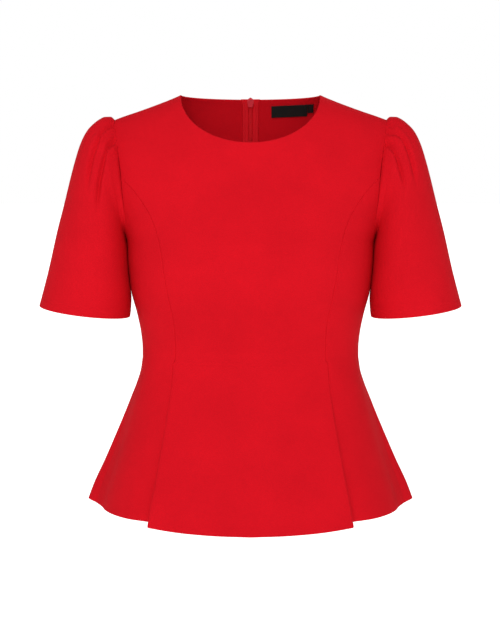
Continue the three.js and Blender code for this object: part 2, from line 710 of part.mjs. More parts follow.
// A closed wall between two nets of points
function wallBetween({ outer, inner, round }) {
  const top = outer.length - 1;
  const end = outer[0].length - 1;
  const width = end + 1;
  const points = outer.flat().concat(inner.flat());
  const out = (i, j) => i * width + ((j + width) % width);
  const inn = (i, j) => out(i, j) + width * (top + 1);
  const index = [];
  const quad = (a, b, c, d) => index.push(a, b, c, a, c, d);
  const last = round ? width : end;
  for (let j = 0; j < last; j++) {
    for (let i = 0; i < top; i++) {
      quad(out(i, j), out(i, j + 1), out(i + 1, j + 1), out(i + 1, j));
      quad(inn(i, j), inn(i + 1, j), inn(i + 1, j + 1), inn(i, j + 1));
    }
    quad(out(0, j), inn(0, j), inn(0, j + 1), out(0, j + 1));
    quad(out(top, j), out(top, j + 1), inn(top, j + 1), inn(top, j));
  }
  if (!round) {
    for (let i = 0; i < top; i++) {
      quad(out(i, 0), out(i + 1, 0), inn(i + 1, 0), inn(i, 0));
      quad(out(i, end), inn(i, end), inn(i + 1, end), out(i + 1, end));
    }
  }
  const geometry = new THREE.BufferGeometry();
  geometry.setAttribute("position", new THREE.Float32BufferAttribute(points.flatMap((p) => p.toArray()), 3));
  geometry.setIndex(signedVolume(points, index) < 0 ? turned(index) : index);
  return geometry;
}

function signedVolume(points, index) {
  let volume = 0;
  for (let i = 0; i < index.length; i += 3) {
    const [a, b, c] = [points[index[i]], points[index[i + 1]], points[index[i + 2]]];
    volume += a.dot(b.clone().cross(c));
  }
  return volume;
}

function turned(index) {
  const result = index.slice();
  for (let i = 0; i < result.length; i += 3) {
    [result[i + 1], result[i + 2]] = [result[i + 2], result[i + 1]];
  }
  return result;
}

const cloth = new THREE.MeshStandardMaterial({ name: "red crepe jersey", color: 0xd81a2a, roughness: 0.9 });
const tapeRed = new THREE.MeshStandardMaterial({ name: "woven zip tape", color: 0xb3121f, roughness: 0.85 });
const nylon = new THREE.MeshStandardMaterial({ name: "nylon zip coil", color: 0xb51422, roughness: 0.5 });
const lacquer = new THREE.MeshStandardMaterial({ name: "lacquered zinc", color: 0xcd2d3c, roughness: 0.4 });
const black = new THREE.MeshStandardMaterial({ name: "black woven tape", color: 0x1a1c1e, roughness: 0.8 });

const part = new THREE.Group();
part.name = "peplum_blouse";

function add(name, geometry, material) {
  const mesh = new THREE.Mesh(geometry, material);
  mesh.name = name;
  part.add(mesh);
  return mesh;
}

const faces = {
  front_centre: joinHalves(facesOf(nets.front_centre)),
  front_side: facesOf(nets.front_side),
  back_side: facesOf(nets.back_side),
  back_centre: facesOf(nets.back_centre, (point) => backEdgeGap(point.z)),
  sleeve: facesOf(nets.sleeve),
};
add("front_centre", wallBetween(faces.front_centre), cloth);
for (const name of ["front_side", "back_side", "back_centre", "sleeve"]) {
  const wall = wallBetween(faces[name]);
  add(name + "_left", wall, cloth);
  add(name + "_right", mirrorGeometry(wall), cloth);
}

// The zip lies behind the two back edges. Rows of its tapes are the rows of the back panels' inner face.
const backInner = faces.back_centre.inner;
const backRows = nets.back_centre.rows;
const zipRows = [];
for (let i = 0; i < backInner.length; i++) {
  const z = backRows[i][0].point.z;
  if (z < -NECK_DROP.back - ZIP.length) continue;
  zipRows.push({
    edge: backInner[i][0],
    next: backInner[i][1],
    facing: backRows[i][0].normal.clone().setX(0).normalize(),
    z,
  });
}
const neckUp = zipRows[zipRows.length - 1].edge.clone().sub(zipRows[zipRows.length - 2].edge).normalize();

// A strip behind the back panel, from x to x, between two depths below the panel's inner face
function stripRows(rows, fromX, toX, depth, above = 0) {
  return rows.map(({ edge, next, facing, z }, i) => {
    const steps = [0, 0.5, 1];
    return steps.map((step) => {
      const start = typeof fromX === "function" ? fromX(z) : fromX;
      const x = mix(start, toX, step);
      const point = edge.clone().lerp(next, (x - edge.x) / (next.x - edge.x));
      point.addScaledVector(facing, -depth);
      if (i === rows.length - 1) point.addScaledVector(neckUp, above);
      return point;
    });
  });
}

const tape = {
  outer: stripRows(zipRows, (z) => backEdgeGap(z) + ZIP.edge, ZIP.tapeWidth, SEAM_GAP, ZIP.above),
  inner: stripRows(zipRows, (z) => backEdgeGap(z) + ZIP.edge, ZIP.tapeWidth, SEAM_GAP + ZIP.tape, ZIP.above),
};
add("zip_tape_left", wallBetween(tape), tapeRed);
add("zip_tape_right", mirrorGeometry(wallBetween(tape)), tapeRed);

// Where the slider sits: on the back's centre line, below the neck edge
const neckBack = torsoAt(BACK, 0, -NECK_DROP.back);
const sliderZ = -NECK_DROP.back - SLIDER.below - SLIDER.tall / 2;
const sliderPoint = torsoAt(BACK, 0, sliderZ);
const sliderOut = torsoNormal(BACK, 0, sliderZ).setX(0).normalize();
const sliderUp = new THREE.Vector3(0, -sliderOut.z, sliderOut.y);
const sliderFrame = new THREE.Matrix4()
  .makeBasis(new THREE.Vector3(-1, 0, 0), sliderUp, sliderOut.clone())
  .setPosition(sliderPoint);

const coilDepth = SEAM_GAP * 2 + ZIP.tape;
const coilBelow = sliderZ - SLIDER.tall / 2 - 1;
const coilRows = zipRows.filter((r) => r.z < coilBelow);
const lowest = zipRows.find((r) => r.z >= coilBelow);
const highest = coilRows[coilRows.length - 1];
const part01 = (coilBelow - highest.z) / (lowest.z - highest.z);
coilRows.push({
  edge: highest.edge.clone().lerp(lowest.edge, part01),
  next: highest.next.clone().lerp(lowest.next, part01),
  facing: highest.facing.clone().lerp(lowest.facing, part01).normalize(),
  z: coilBelow,
});
const coilStrip = (depth) =>
  stripRows(coilRows, 0, ZIP.coilWidth, depth).map((row) => [mirrored(row[2]), row[2]]);
add("zip_coil", wallBetween({ outer: coilStrip(coilDepth), inner: coilStrip(coilDepth + ZIP.coil) }), nylon);

const wasm = await Module();
wasm.setup();

function solid(geometry) {
  const merged = mergeVertices(new THREE.BufferGeometry().setAttribute("position", (geometry.index
    ? geometry.toNonIndexed() : geometry).getAttribute("position")), 1e-4);
  return new wasm.Manifold(
    new wasm.Mesh({
      numProp: 3,
      vertProperties: new Float32Array(merged.attributes.position.array),
      triVerts: new Uint32Array(merged.index.array),
    }),
  );
}

function joined(geometries) {
  const mesh = wasm.Manifold.union(geometries.map(solid)).getMesh();
  const geometry = new THREE.BufferGeometry();
  geometry.setAttribute("position", new THREE.BufferAttribute(new Float32Array(mesh.vertProperties), 3));
  geometry.setIndex(new THREE.BufferAttribute(new Uint32Array(mesh.triVerts), 1));
  return geometry;
}

// A flat plate from an outline, centred on its own thickness
function plate(shape, thick, curveSegments = 8) {
  const geometry = new THREE.ExtrudeGeometry(shape, { depth: thick, bevelEnabled: false, curveSegments });
  return geometry.translate(0, 0, -thick / 2);
}

// The slider: a wedge-shaped box inside, a fin out through the parted edges, and a lug with an eye outside.
// Its own frame is x across, y up along the zip and z out of the garment.
function sliderGeometry() {
  const { wide, narrow, tall, thick, fin, eyeOut, eye, lug } = SLIDER;
  const inside = -(CLOTH + SEAM_GAP * 2 + ZIP.tape + SLIDER.clear);
  const body = new THREE.Shape();
  const corner = 1.2;
  body.moveTo(-wide / 2 + corner, tall / 2);
  body.lineTo(wide / 2 - corner, tall / 2);
  body.lineTo(wide / 2, tall / 2 - corner);
  body.lineTo(wide / 2, 0);
  body.lineTo(narrow / 2, -tall / 2);
  body.lineTo(-narrow / 2, -tall / 2);
  body.lineTo(-wide / 2, 0);
  body.lineTo(-wide / 2, tall / 2 - corner);
  body.closePath();
  const box = plate(body, thick).translate(0, 0, inside - thick / 2);
  const profile = new THREE.Shape();
  profile.moveTo(inside - 0.5, -fin / 2);
  profile.lineTo(eyeOut, -fin / 2);
  profile.absarc(eyeOut, -fin / 2 + lug, lug, -Math.PI / 2, Math.PI / 2, false);
  profile.lineTo(0.6, fin / 2);
  profile.lineTo(inside - 0.5, fin / 2);
  profile.closePath();
  const hole = new THREE.Path();
  hole.absarc(eyeOut, -fin / 2 + lug, eye, 0, Math.PI * 2, true);
  profile.holes.push(hole);
  const finPlate = plate(profile, SLIDER.neck, 10);
  finPlate.applyMatrix4(new THREE.Matrix4().makeBasis(
    new THREE.Vector3(0, 0, 1), new THREE.Vector3(0, 1, 0), new THREE.Vector3(-1, 0, 0)));
  return joined([box, finPlate]);
}
add("zip_slider", sliderGeometry().applyMatrix4(sliderFrame), lacquer);

// The pull hangs from a bar through the slider's eye and rests against the back below it
const eyePlace = new THREE.Vector3(0, -SLIDER.fin / 2 + SLIDER.lug, SLIDER.eyeOut).applyMatrix4(sliderFrame);
function pullTurn() {
  const reach = PULL.long - PULL.bar;
  let best = 0;
  for (let lean = -10; lean < 45; lean += 0.25) {
    const down = new THREE.Vector3(0, Math.sin(radians(lean)), -Math.cos(radians(lean)));
    const out = new THREE.Vector3(0, Math.cos(radians(lean)), Math.sin(radians(lean)));
    let clear = Infinity;
    for (let step = 4; step <= reach; step += 1) {
      const at = eyePlace.clone().addScaledVector(down, step).addScaledVector(out, -PULL.thick / 2);
      clear = Math.min(clear, (at.y - torsoAt(BACK, 0, at.z).y) * sliderOut.y);
    }
    best = lean;
    if (clear >= PULL.clear) break;
  }
  return best;
}
const lean = radians(pullTurn());
const pullFrame = new THREE.Matrix4()
  .makeBasis(
    new THREE.Vector3(-1, 0, 0),
    new THREE.Vector3(0, -Math.sin(lean), Math.cos(lean)),
    new THREE.Vector3(0, Math.cos(lean), Math.sin(lean)),
  )
  .setPosition(eyePlace);

function pullGeometry() {
  const { long, wide, thick, bar, window, windowTall } = PULL;
  const tab = new THREE.Shape();
  const shoulder = wide / 2 - 0.6;
  tab.moveTo(-shoulder, bar * 0.9);
  tab.lineTo(-wide / 2, -windowTall);
  tab.lineTo(-wide * 0.36, -long + wide * 0.36);
  tab.absarc(0, -long + wide * 0.36, wide * 0.36, Math.PI, Math.PI * 2, false);
  tab.lineTo(wide / 2, -windowTall);
  tab.lineTo(shoulder, bar * 0.9);
  tab.closePath();
  const hole = new THREE.Path();
  hole.moveTo(-window / 2, bar * 0.5);
  hole.lineTo(window / 2, bar * 0.5);
  hole.lineTo(window / 2, -windowTall);
  hole.lineTo(-window / 2, -windowTall);
  hole.closePath();
  const sheet = plate(tab, thick);
  const cut = new THREE.Shape([
    new THREE.Vector2(-window / 2, bar * 2),
    new THREE.Vector2(-window / 2, -windowTall),
    new THREE.Vector2(window / 2, -windowTall),
    new THREE.Vector2(window / 2, bar * 2),
  ]);
  const open = solid(sheet).subtract(solid(plate(cut, thick * 2)));
  const rod = new THREE.CylinderGeometry(bar, bar, window + 1.6, 16).rotateZ(Math.PI / 2);
  const mesh = open.add(solid(rod)).getMesh();
  const geometry = new THREE.BufferGeometry();
  geometry.setAttribute("position", new THREE.BufferAttribute(new Float32Array(mesh.vertProperties), 3));
  geometry.setIndex(new THREE.BufferAttribute(new Uint32Array(mesh.triVerts), 1));
  return geometry;
}
add("zip_pull", pullGeometry().applyMatrix4(pullFrame), lacquer);

// A label against the inside of the back, below the neck edge
function labelRows(size, depth) {
  const ups = [1, 0.66, 0.33, 0];
  const steps = 8;
  return ups.map((up) => {
    const row = [];
    for (let i = 0; i <= steps; i++) {
      const x = mix(size.from, size.to, i / steps);
      const z = mix(size.topFrom, size.topTo, i / steps) - size.tall * up;
      row.push(torsoAt(BACK, x, z).addScaledVector(torsoNormal(BACK, x, z), -CLOTH - depth));
    }
    return row;
  });
}
for (const [name, size] of [["neck_label", LABEL], ["size_tab", SIZE_TAB]]) {
  const rows = { outer: labelRows(size, size.gap), inner: labelRows(size, size.gap + size.thick) };
  add(name, wallBetween(rows), black);
}

export default part;
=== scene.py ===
"""A short-sleeved peplum blouse in red crepe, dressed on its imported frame.

The cloth pieces are curved sheets on finer nets of points than the frame's own pieces, with rolled
seams, turned edges and creases. The zip, its slider and two bare labels lie inside the back neck, and
the zip's pull hangs outside it.
Sizes are millimetres here and metres in the scene. +Z is up, -Y is the front and +X is the wearer's left.
"""
import math

import bpy
import numpy as np
from bpy.props import FloatProperty, FloatVectorProperty, PointerProperty
from bpy.types import Operator, Panel, PropertyGroup
from mathutils import Matrix, Vector


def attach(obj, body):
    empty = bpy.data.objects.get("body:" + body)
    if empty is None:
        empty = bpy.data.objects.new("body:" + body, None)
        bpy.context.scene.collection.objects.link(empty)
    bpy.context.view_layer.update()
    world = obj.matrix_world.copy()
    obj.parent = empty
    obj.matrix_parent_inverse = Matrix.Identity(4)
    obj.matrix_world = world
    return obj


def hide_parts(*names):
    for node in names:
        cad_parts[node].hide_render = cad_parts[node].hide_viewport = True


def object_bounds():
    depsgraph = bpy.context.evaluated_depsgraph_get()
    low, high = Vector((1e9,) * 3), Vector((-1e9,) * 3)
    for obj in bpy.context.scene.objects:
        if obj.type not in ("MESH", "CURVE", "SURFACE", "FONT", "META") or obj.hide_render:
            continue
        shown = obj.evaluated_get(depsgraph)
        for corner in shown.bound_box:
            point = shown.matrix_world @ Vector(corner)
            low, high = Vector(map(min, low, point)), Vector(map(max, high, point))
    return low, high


bl_info = {
    "name": "Peplum blouse",
    "version": (1, 0, 0),
    "blender": (4, 5, 0),
    "location": "View3D > Sidebar > Blouse",
    "description": "Dresses the frame of a peplum blouse with its cloth, zip and labels",
    "category": "Object",
}

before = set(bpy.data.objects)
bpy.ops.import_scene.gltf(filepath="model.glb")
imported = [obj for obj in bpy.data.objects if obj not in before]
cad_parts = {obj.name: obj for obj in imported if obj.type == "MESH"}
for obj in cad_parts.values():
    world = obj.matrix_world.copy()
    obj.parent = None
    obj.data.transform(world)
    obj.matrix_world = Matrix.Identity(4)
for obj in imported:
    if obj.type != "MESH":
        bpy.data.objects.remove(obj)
FRAME_BOX = [list(corner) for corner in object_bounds()]

MM = 0.001
FRONT, BACK = -1, 1
WAIST_Z = -358
NECK_HALF = 94.5
NECK_DROP = {FRONT: 63.3, BACK: 5.6}
SHOULDER_X = 185
SHOULDER_ROUND = 110
UNDERARM_Z = -200
PRINCESS_Z = -109.5
QUARTER = SHOULDER_ROUND * math.pi / 2
SLIDER_Z = -8
PULL_EYE = (0, 61.7157, -7.6327)
PULL_LEAN = 23
SEAM_LAP = 0.35
ARMHOLE_LAP = 1.3
SIDE_CLEAR = 0.25
HEM_STITCH_UP = 11
TAPE_STITCH_IN = 7.7
BESIDE_TEETH = 0.15
SLIDER_DEEP = 5.5
# The back's edges stand off the slider's fin, and close again between these depths below the neck
EDGE_OFF, EDGE_CLOSED = 1.1, 0.1
CLOSES_FROM, CLOSES_IN = 9, 8
PULL_THICK = 1.3
LOOK_AT = (-0.0007, 0, -0.3085)

# Lengths of the panels' stretches, which say how many rows and columns of points they take
CENTRE_LONG = {"skirt": 216, "bodice": 245, "armhole": 62, "shoulder": 72}
SIDE_LONG = {"skirt": 210, "bodice": 165}
FRONT_WIDE, BACK_WIDE, SIDE_WIDE = 125, 115, 110

# The blouse's shape. z, x and y are places, and out, down, up and across say how far along

TORSO = {
    "z": (-358, -345, -327, -300, -263, -230, -200, -175, -140, -110, -75, -36, 0),
    "half": (148.8, 148.8, 150.3, 155.2, 164.3, 167.8, 169, 179, 195, 203, 209, 213, 215),
    "front": (103, 103.5, 107, 115, 126, 129, 125, 117, 105, 94, 84, 76, 72),
    "back": (84, 84, 85.5, 89.5, 95.5, 99.5, 102, 102, 99, 94, 86, 77, 70),
    "square_front": (2.4, 2.4, 2.42, 2.5, 2.6, 2.6, 2.5, 2.4, 2.3, 2.3, 2.3, 2.3, 2.3),
    "square_back": (2.4, 2.4, 2.4, 2.4, 2.4, 2.4, 2.4, 2.35, 2.3, 2.3, 2.3, 2.3, 2.3),
}
SHOULDER = {
    "x": (0, 15, 40, 70, 94.5, 109, 129, 154, 173, 185, 215),
    "z": (38, 37.6, 32, 17, 0, -6.4, -14.1, -23.1, -29.5, -34, -46.5),
}
ARMHOLE = {
    FRONT: {
        "z": (-34, -52, -71, -93, -109.5, -135, -160, -180, -193, -200),
        "x": (185, 182, 179.2, 176, 174, 171.5, 169, 167.5, 168.4, 169),
    },
    BACK: {
        "z": (-34, -52, -71, -93, -109.5, -135, -160, -180, -193, -200),
        "x": (185, 183, 181, 178.5, 176.5, 173.5, 170.5, 168, 168.6, 169),
    },
}
PRINCESS = {
    FRONT: {
        "z": (-358, -339, -321, -297, -270, -238, -209, -183, -160, -142, -124),
        "x": (101, 100.3, 100.5, 102.7, 108.2, 113.8, 118, 124, 133, 144.5, 159),
    },
    BACK: {
        "z": (-358, -321, -270, -209, -160, -130),
        "x": (84, 84, 92, 107, 128, 152),
    },
}
CENTRE_RISE = {
    "up": (1, 2, 3, 4),
    "share": (0, 0.74, 0.86, 1),
}
FLARE = {
    "down": (0, 0.087, 0.18, 0.285, 0.414, 0.566, 0.73, 0.884, 1),
    "share": (0, 0.04, 0.115, 0.222, 0.354, 0.519, 0.702, 0.887, 1),
}
HEM = {
    "front_centre": {
        "across": (0, 0.25, 0.5, 0.7, 0.86, 0.94, 0.97, 1),
        "angle": (0, 9.5, 21, 31, 37.6, 39.4, 40, 40.6),
        "x": (0, 38, 80, 108, 128.5, 135.5, 134.5, 127.5),
        "y": (-172, -171.5, -169.5, -166.5, -162.5, -158, -150, -139),
        "z": (-574.8, -573.7, -571, -568, -565.2, -564.4, -564, -563.2),
    },
    "front_side": {
        "across": (0, 0.1, 0.35, 0.62, 0.78, 0.89, 1),
        "angle": (40.6, 43, 54, 67, 75, 82, 90),
        "x": (127.5, 135, 163, 188, 199, 204.5, 214.5),
        "y": (-139, -132.5, -114, -83, -58, -36, -12),
        "z": (-563.2, -563, -563, -562.8, -562.8, -563, -562),
    },
    "back_side": {
        "across": (0, 0.12, 0.25, 0.5, 0.75, 0.92, 1),
        "angle": (90, 84, 77, 63, 49, 37, 33.5),
        "x": (214.5, 226.8, 223.5, 201, 166, 134, 120),
        "y": (-12, 6, 27, 66, 99, 120, 127),
        "z": (-562, -559.4, -559.8, -560.5, -561, -561.3, -561.5),
    },
    "back_centre": {
        "across": (0, 0.1, 0.5, 0.72, 0.86, 0.94, 0.97, 1),
        "angle": (0, 4.6, 18, 26.5, 31, 32.4, 33, 33.5),
        "x": (0, 17, 74, 104, 121.5, 128.5, 127.5, 120),
        "y": (160, 160, 157.5, 153.5, 149, 145, 137.5, 127),
        "z": (-571, -570.8, -568, -565, -563.2, -562.7, -562.2, -561.5),
    },
}
SLEEVE = {
    "out": (0, 8, 15, 22, 31, 45, 64, 92, 117, 141, 186, 242, 293),
    "over_x": (185, 190.8, 198.4, 205, 212.3, 222.3, 231.3, 240.1, 246.6, 252.4, 263.8, 276.5, 289.5),
    "over_y": (0, 0, 0, 0, -0.5, -1, -2, -3.5, -5, -6, -8, -9, -10),
    "over_z": (-34, -29.6, -29.8, -32.6, -37.8, -48, -65, -92.3, -117, -140.4, -184, -238.5, -287),
    "under_x": (169, 169.4, 169.6, 168.9, 167.5, 166, 165, 164, 163, 162.4, 162.6, 163.4, 164.9),
    "under_y": (0, 0, -2, -5, -9, -14, -18, -20, -21, -21, -21, -20, -18),
    "under_z": (-200, -196.4, -195.2, -197.5, -203, -213, -228, -243, -254, -264, -278, -291, -302),
    "front": (57, 59.5, 60.5, 61.5, 61, 62.5, 65, 68, 69.5, 70.5, 71.5, 72.5, 73),
    "back": (58, 60.5, 63, 64.8, 66.8, 67, 65, 60.5, 58, 57, 57, 58.5, 60),
    "armhole": (1, 0.78, 0.42, 0.2, 0.07, 0, 0, 0, 0, 0, 0, 0, 0),
}
GATHERS = {
    "round": (60, 44, 31, 18, 4, -12, -27, -42, -58),
    "turn": (18, 27, 22, 27, 6, -14, -22, -26, -18),
    "deep": (1.8, 4.4, 2.2, 3, 0.6, 2, 2.2, 4, 2),
    "wide": (4.5, 5.5, 4.5, 6, 5, 5.5, 4.5, 6, 4.5),
    "reach": (32, 68, 34, 80, 30, 58, 38, 72, 34),
}
GATHER_RISE = 6

# Each label's start and end from the middle of the back, its top at either end, and its height
LABELS = {
    "neck_label": (29.5, 79.9, -13.7, -11.3, 16.2),
    "size_tab": (80.1, 88.3, -11.3, -10.9, 11.6),
}

# Creases on the front of each sleeve head: the degrees round and the millimetres out of their points,
# then how deep and how many degrees wide
CREASES = {
    "right": (
        ((11, 21, 31, 36, 42, 51, 58, 64), (1, 8, 17, 24, 29, 44, 66, 90), 6.0, 4.8),
        ((26, 34, 42, 50), (1, 8, 16, 28), 2.2, 2.8),
        ((35, 45, 55, 64, 73, 80, 85), (1, 8, 16, 24, 38, 62, 92), 6.4, 4.8),
    ),
    "left": (
        ((14, 22, 30, 38), (1, 8, 16, 28), 2.4, 2.8),
        ((27, 31, 36, 39, 43, 48, 53, 58), (1, 8, 16, 26, 34, 44, 68, 90), 5.8, 4.6),
        ((45, 50, 56, 61, 66, 71, 76), (1, 8, 14, 20, 28, 40, 66), 6.0, 4.4),
    ),
}
RUCHING = {
    "at": (-62, -53, -45, -38, -30, -22, -14, 15, 22, 30, 37, 45, 53, 61),
    "deep": (0.5, 0.9, 0.7, 1.0, 0.8, 1.0, 0.5, 0.6, 1.1, 0.8, 1.1, 0.8, 0.9, 0.5),
}
RUCHING_WIDE, RUCHING_RISE, RUCHING_REACH = 2.2, 1.2, 7
CREASE_RISE, CREASE_FADES = 5, 0.6


def curve_of(keys, values):
    """Smooth curve through a table's rows, without overshoot."""
    order = np.argsort(keys)
    x = np.asarray(keys, float)[order]
    y = np.asarray(values, float)[order]
    width = np.diff(x)
    step = np.diff(y) / width
    slope = np.empty_like(x)
    slope[0], slope[-1] = step[0], step[-1]
    for i in range(1, len(x) - 1):
        if step[i - 1] * step[i] <= 0:
            slope[i] = 0
            continue
        weight_a = 2 * width[i] + width[i - 1]
        weight_b = width[i] + 2 * width[i - 1]
        slope[i] = (weight_a + weight_b) / (weight_a / step[i - 1] + weight_b / step[i])

    def at(where):
        where = np.asarray(where, float)
        i = np.clip(np.searchsorted(x, where) - 1, 0, len(x) - 2)
        t = np.clip((where - x[i]) / width[i], 0, 1)
        return (
            (2 * t**3 - 3 * t**2 + 1) * y[i]
            + (t**3 - 2 * t**2 + t) * width[i] * slope[i]
            + (3 * t**2 - 2 * t**3) * y[i + 1]
            + (t**3 - t**2) * width[i] * slope[i + 1]
        )

    return at


def columns_of(table, key):
    return {name: curve_of(table[key], table[name]) for name in table if name != key}


def mix(a, b, t):
    return a + (b - a) * t


def ease(t):
    t = np.clip(t, 0, 1)
    return t * t * (3 - 2 * t)


def vectors(x, y, z):
    return np.stack(np.broadcast_arrays(x, y, z), -1).astype(float)


torso = columns_of(TORSO, "z")
half_at = torso["half"]
depth_at = {FRONT: torso["front"], BACK: torso["back"]}
square_at = {FRONT: torso["square_front"], BACK: torso["square_back"]}
shoulder_at = curve_of(SHOULDER["x"], SHOULDER["z"])
flare_at = curve_of(FLARE["down"], FLARE["share"])
rise_at = curve_of(CENTRE_RISE["up"], CENTRE_RISE["share"])
sleeve_at = columns_of(SLEEVE, "out")


def torso_at(side, x, z):
    """The body's surface at a distance from the centre and a height."""
    square = square_at[side](z)
    share = np.clip((shoulder_at(x) - z) / SHOULDER_ROUND, 0, 1)
    across = np.clip(x / half_at(z), 0, 1)
    forward = np.maximum(0, 1 - across**square) ** (1 / square)
    y = side * depth_at[side](z) * forward * np.sqrt(1 - (1 - share) ** 2)
    return vectors(x, y, z)


def torso_turned(side, angle, z):
    """The same, by the angle round from the centre front or back to the side."""
    turn = np.radians(np.clip(angle, 0, 90))
    return torso_at(side, half_at(z) * np.sin(turn) ** (2 / square_at[side](z)), z)


def angle_of(side, x, z):
    return np.degrees(np.arcsin(np.clip(x / half_at(z), 0, 1) ** (square_at[side](z) / 2)))


def unrolled(x, z):
    """Height measured over the rounded shoulder, 0 on the shoulder seam."""
    below = np.maximum(0, shoulder_at(x) - z)
    over = -SHOULDER_ROUND * np.arccos(1 - np.minimum(below, SHOULDER_ROUND) / SHOULDER_ROUND)
    return np.where(below > SHOULDER_ROUND, -(QUARTER + below - SHOULDER_ROUND), over)


def rolled(x, height):
    run = np.maximum(0, -height)
    over = shoulder_at(x) - SHOULDER_ROUND * (1 - np.cos(np.minimum(run, QUARTER) / SHOULDER_ROUND))
    return np.where(run > QUARTER, shoulder_at(x) - SHOULDER_ROUND - (run - QUARTER), over)


class ArmholeSeam:
    """One half of the armhole seam by its length, from the shoulder (0) to the underarm (1)."""

    def __init__(self, side):
        samples = 240
        turn = (1 - np.cos(np.pi * np.arange(samples + 1) / samples)) / 2
        z = mix(ARMHOLE[side]["z"][0], UNDERARM_Z, turn)
        x = curve_of(ARMHOLE[side]["z"], ARMHOLE[side]["x"])(z)
        x[-1] = half_at(z[-1])
        self.side = side
        self.points = torso_at(side, x, z)
        self.points[0, 1] = 0
        runs = np.linalg.norm(np.diff(self.points, axis=0), axis=1)
        lengths = np.concatenate([[0], np.cumsum(runs)])
        self.shares = lengths / lengths[-1]
        self.princess = self.shares[np.argmax(z <= PRINCESS_Z)]

    def at(self, along):
        x, y, z = (np.interp(along, self.shares, self.points[:, i]) for i in range(3))
        y = np.where((along > 0) & (along < 1), torso_at(self.side, x, z)[..., 1], y)
        return vectors(x, y, z)


armholes = {side: ArmholeSeam(side) for side in (FRONT, BACK)}
princess_top = {side: armholes[side].at(armholes[side].princess) for side in (FRONT, BACK)}
princess_at = {
    side: curve_of(
        PRINCESS[side]["z"] + (princess_top[side][2],), PRINCESS[side]["x"] + (princess_top[side][0],)
    )
    for side in (FRONT, BACK)
}


def skirt_at(side, hem, across, up):
    """A panel below the waist, where up runs from the hem (0) to the waist (1)."""
    down = 1 - up
    waist = torso_turned(side, hem["angle"](across), WAIST_Z + 0 * across)
    share = flare_at(down)
    return vectors(
        mix(waist[..., 0], hem["x"](across), share),
        mix(waist[..., 1], hem["y"](across), share),
        mix(WAIST_Z, hem["z"](across), down),
    )


def centre_panel(side, name):
    """A centre panel: across from the centre (0) to its seam (1), up from hem over waist (1) to neck (4)."""
    hem = columns_of(HEM[name], "across")
    seam = armholes[side]

    def edge(up):
        z = mix(WAIST_Z, princess_top[side][2], np.clip(up - 1, 0, 1))
        beside = princess_at[side](z)
        arm = seam.at(seam.princess * np.clip(3 - up, 0, 1))
        x = np.select([up <= 2, up <= 3], [beside, arm[..., 0]], mix(SHOULDER_X, NECK_HALF, up - 3))
        h = np.select([up <= 2, up <= 3], [unrolled(beside, z), unrolled(arm[..., 0], arm[..., 2])], 0)
        return x, h

    def at(across, up):
        clipped = np.clip(up, 1, 4)
        t = ease((clipped - 2) / 2)
        rise = rise_at(clipped)
        turn = across * np.pi / 2
        bottom_x = torso_turned(side, hem["angle"](across), WAIST_Z + 0 * across)[..., 0]
        neck_x = NECK_HALF * np.sin(turn)
        ends_x = torso_turned(side, hem["angle"](np.array([0.0, 1.0])), np.full(2, float(WAIST_Z)))[..., 0]
        edge_x, edge_h = edge(clipped)
        drop = NECK_DROP[side]
        x = (
            (1 - t) * bottom_x + t * neck_x + across * edge_x
            - (1 - t) * mix(ends_x[0], ends_x[1], across) - t * NECK_HALF * across
        )
        h0, h1 = unrolled(ends_x, np.full(2, float(WAIST_Z)))
        neck_low = unrolled(0.0, -drop)
        h = (
            (1 - t) * unrolled(bottom_x, WAIST_Z) + t * unrolled(neck_x, -drop * np.cos(turn))
            + (1 - across) * mix(h0, neck_low, rise) + across * edge_h
            - (1 - t) * mix(h0, h1, across) - t * mix(neck_low, 0, across)
        )
        x = np.maximum(0, x)
        body = torso_at(side, x, rolled(x, h))
        return np.where((up <= 1)[..., None], skirt_at(side, hem, across, up), body)

    return at


def side_panel(side, name, seam_first):
    """A side panel: across from its first seam to its second, up from hem over waist (1) to armhole (2)."""
    hem = columns_of(HEM[name], "across")
    seam = armholes[side]

    def at(across, up):
        from_seam = across if seam_first else 1 - across
        along = mix(seam.princess, 1, from_seam)
        top = seam.at(along)
        top_angle = np.where(along >= 1, 90, angle_of(side, top[..., 0], top[..., 2]))
        rise = np.clip(up - 1, 0, 1)
        high = princess_top[side]
        seam_z = mix(WAIST_Z, high[2], rise)
        waist_angle = hem["angle"](np.array(0.0 if seam_first else 1.0))
        straight = mix(waist_angle, angle_of(side, high[0], high[2]), rise)
        pull = angle_of(side, princess_at[side](seam_z), seam_z) - straight
        angle = mix(hem["angle"](across), top_angle, rise) + (1 - from_seam) * pull
        body = torso_turned(side, angle, mix(WAIST_Z, top[..., 2], rise))
        return np.where((up <= 1)[..., None], skirt_at(side, hem, across, up), body)

    return at


def sleeve_ring(side, turn, out):
    over, under = (vectors(*(sleeve_at[name + axis](out) for axis in "xyz")) for name in ("over_", "under_"))
    centre = (over + under) / 2
    depth = sleeve_at["front" if side == FRONT else "back"](out)
    point = centre + (over - centre) * np.cos(turn)[..., None]
    point[..., 1] += side * depth * np.sin(turn)
    return point, centre


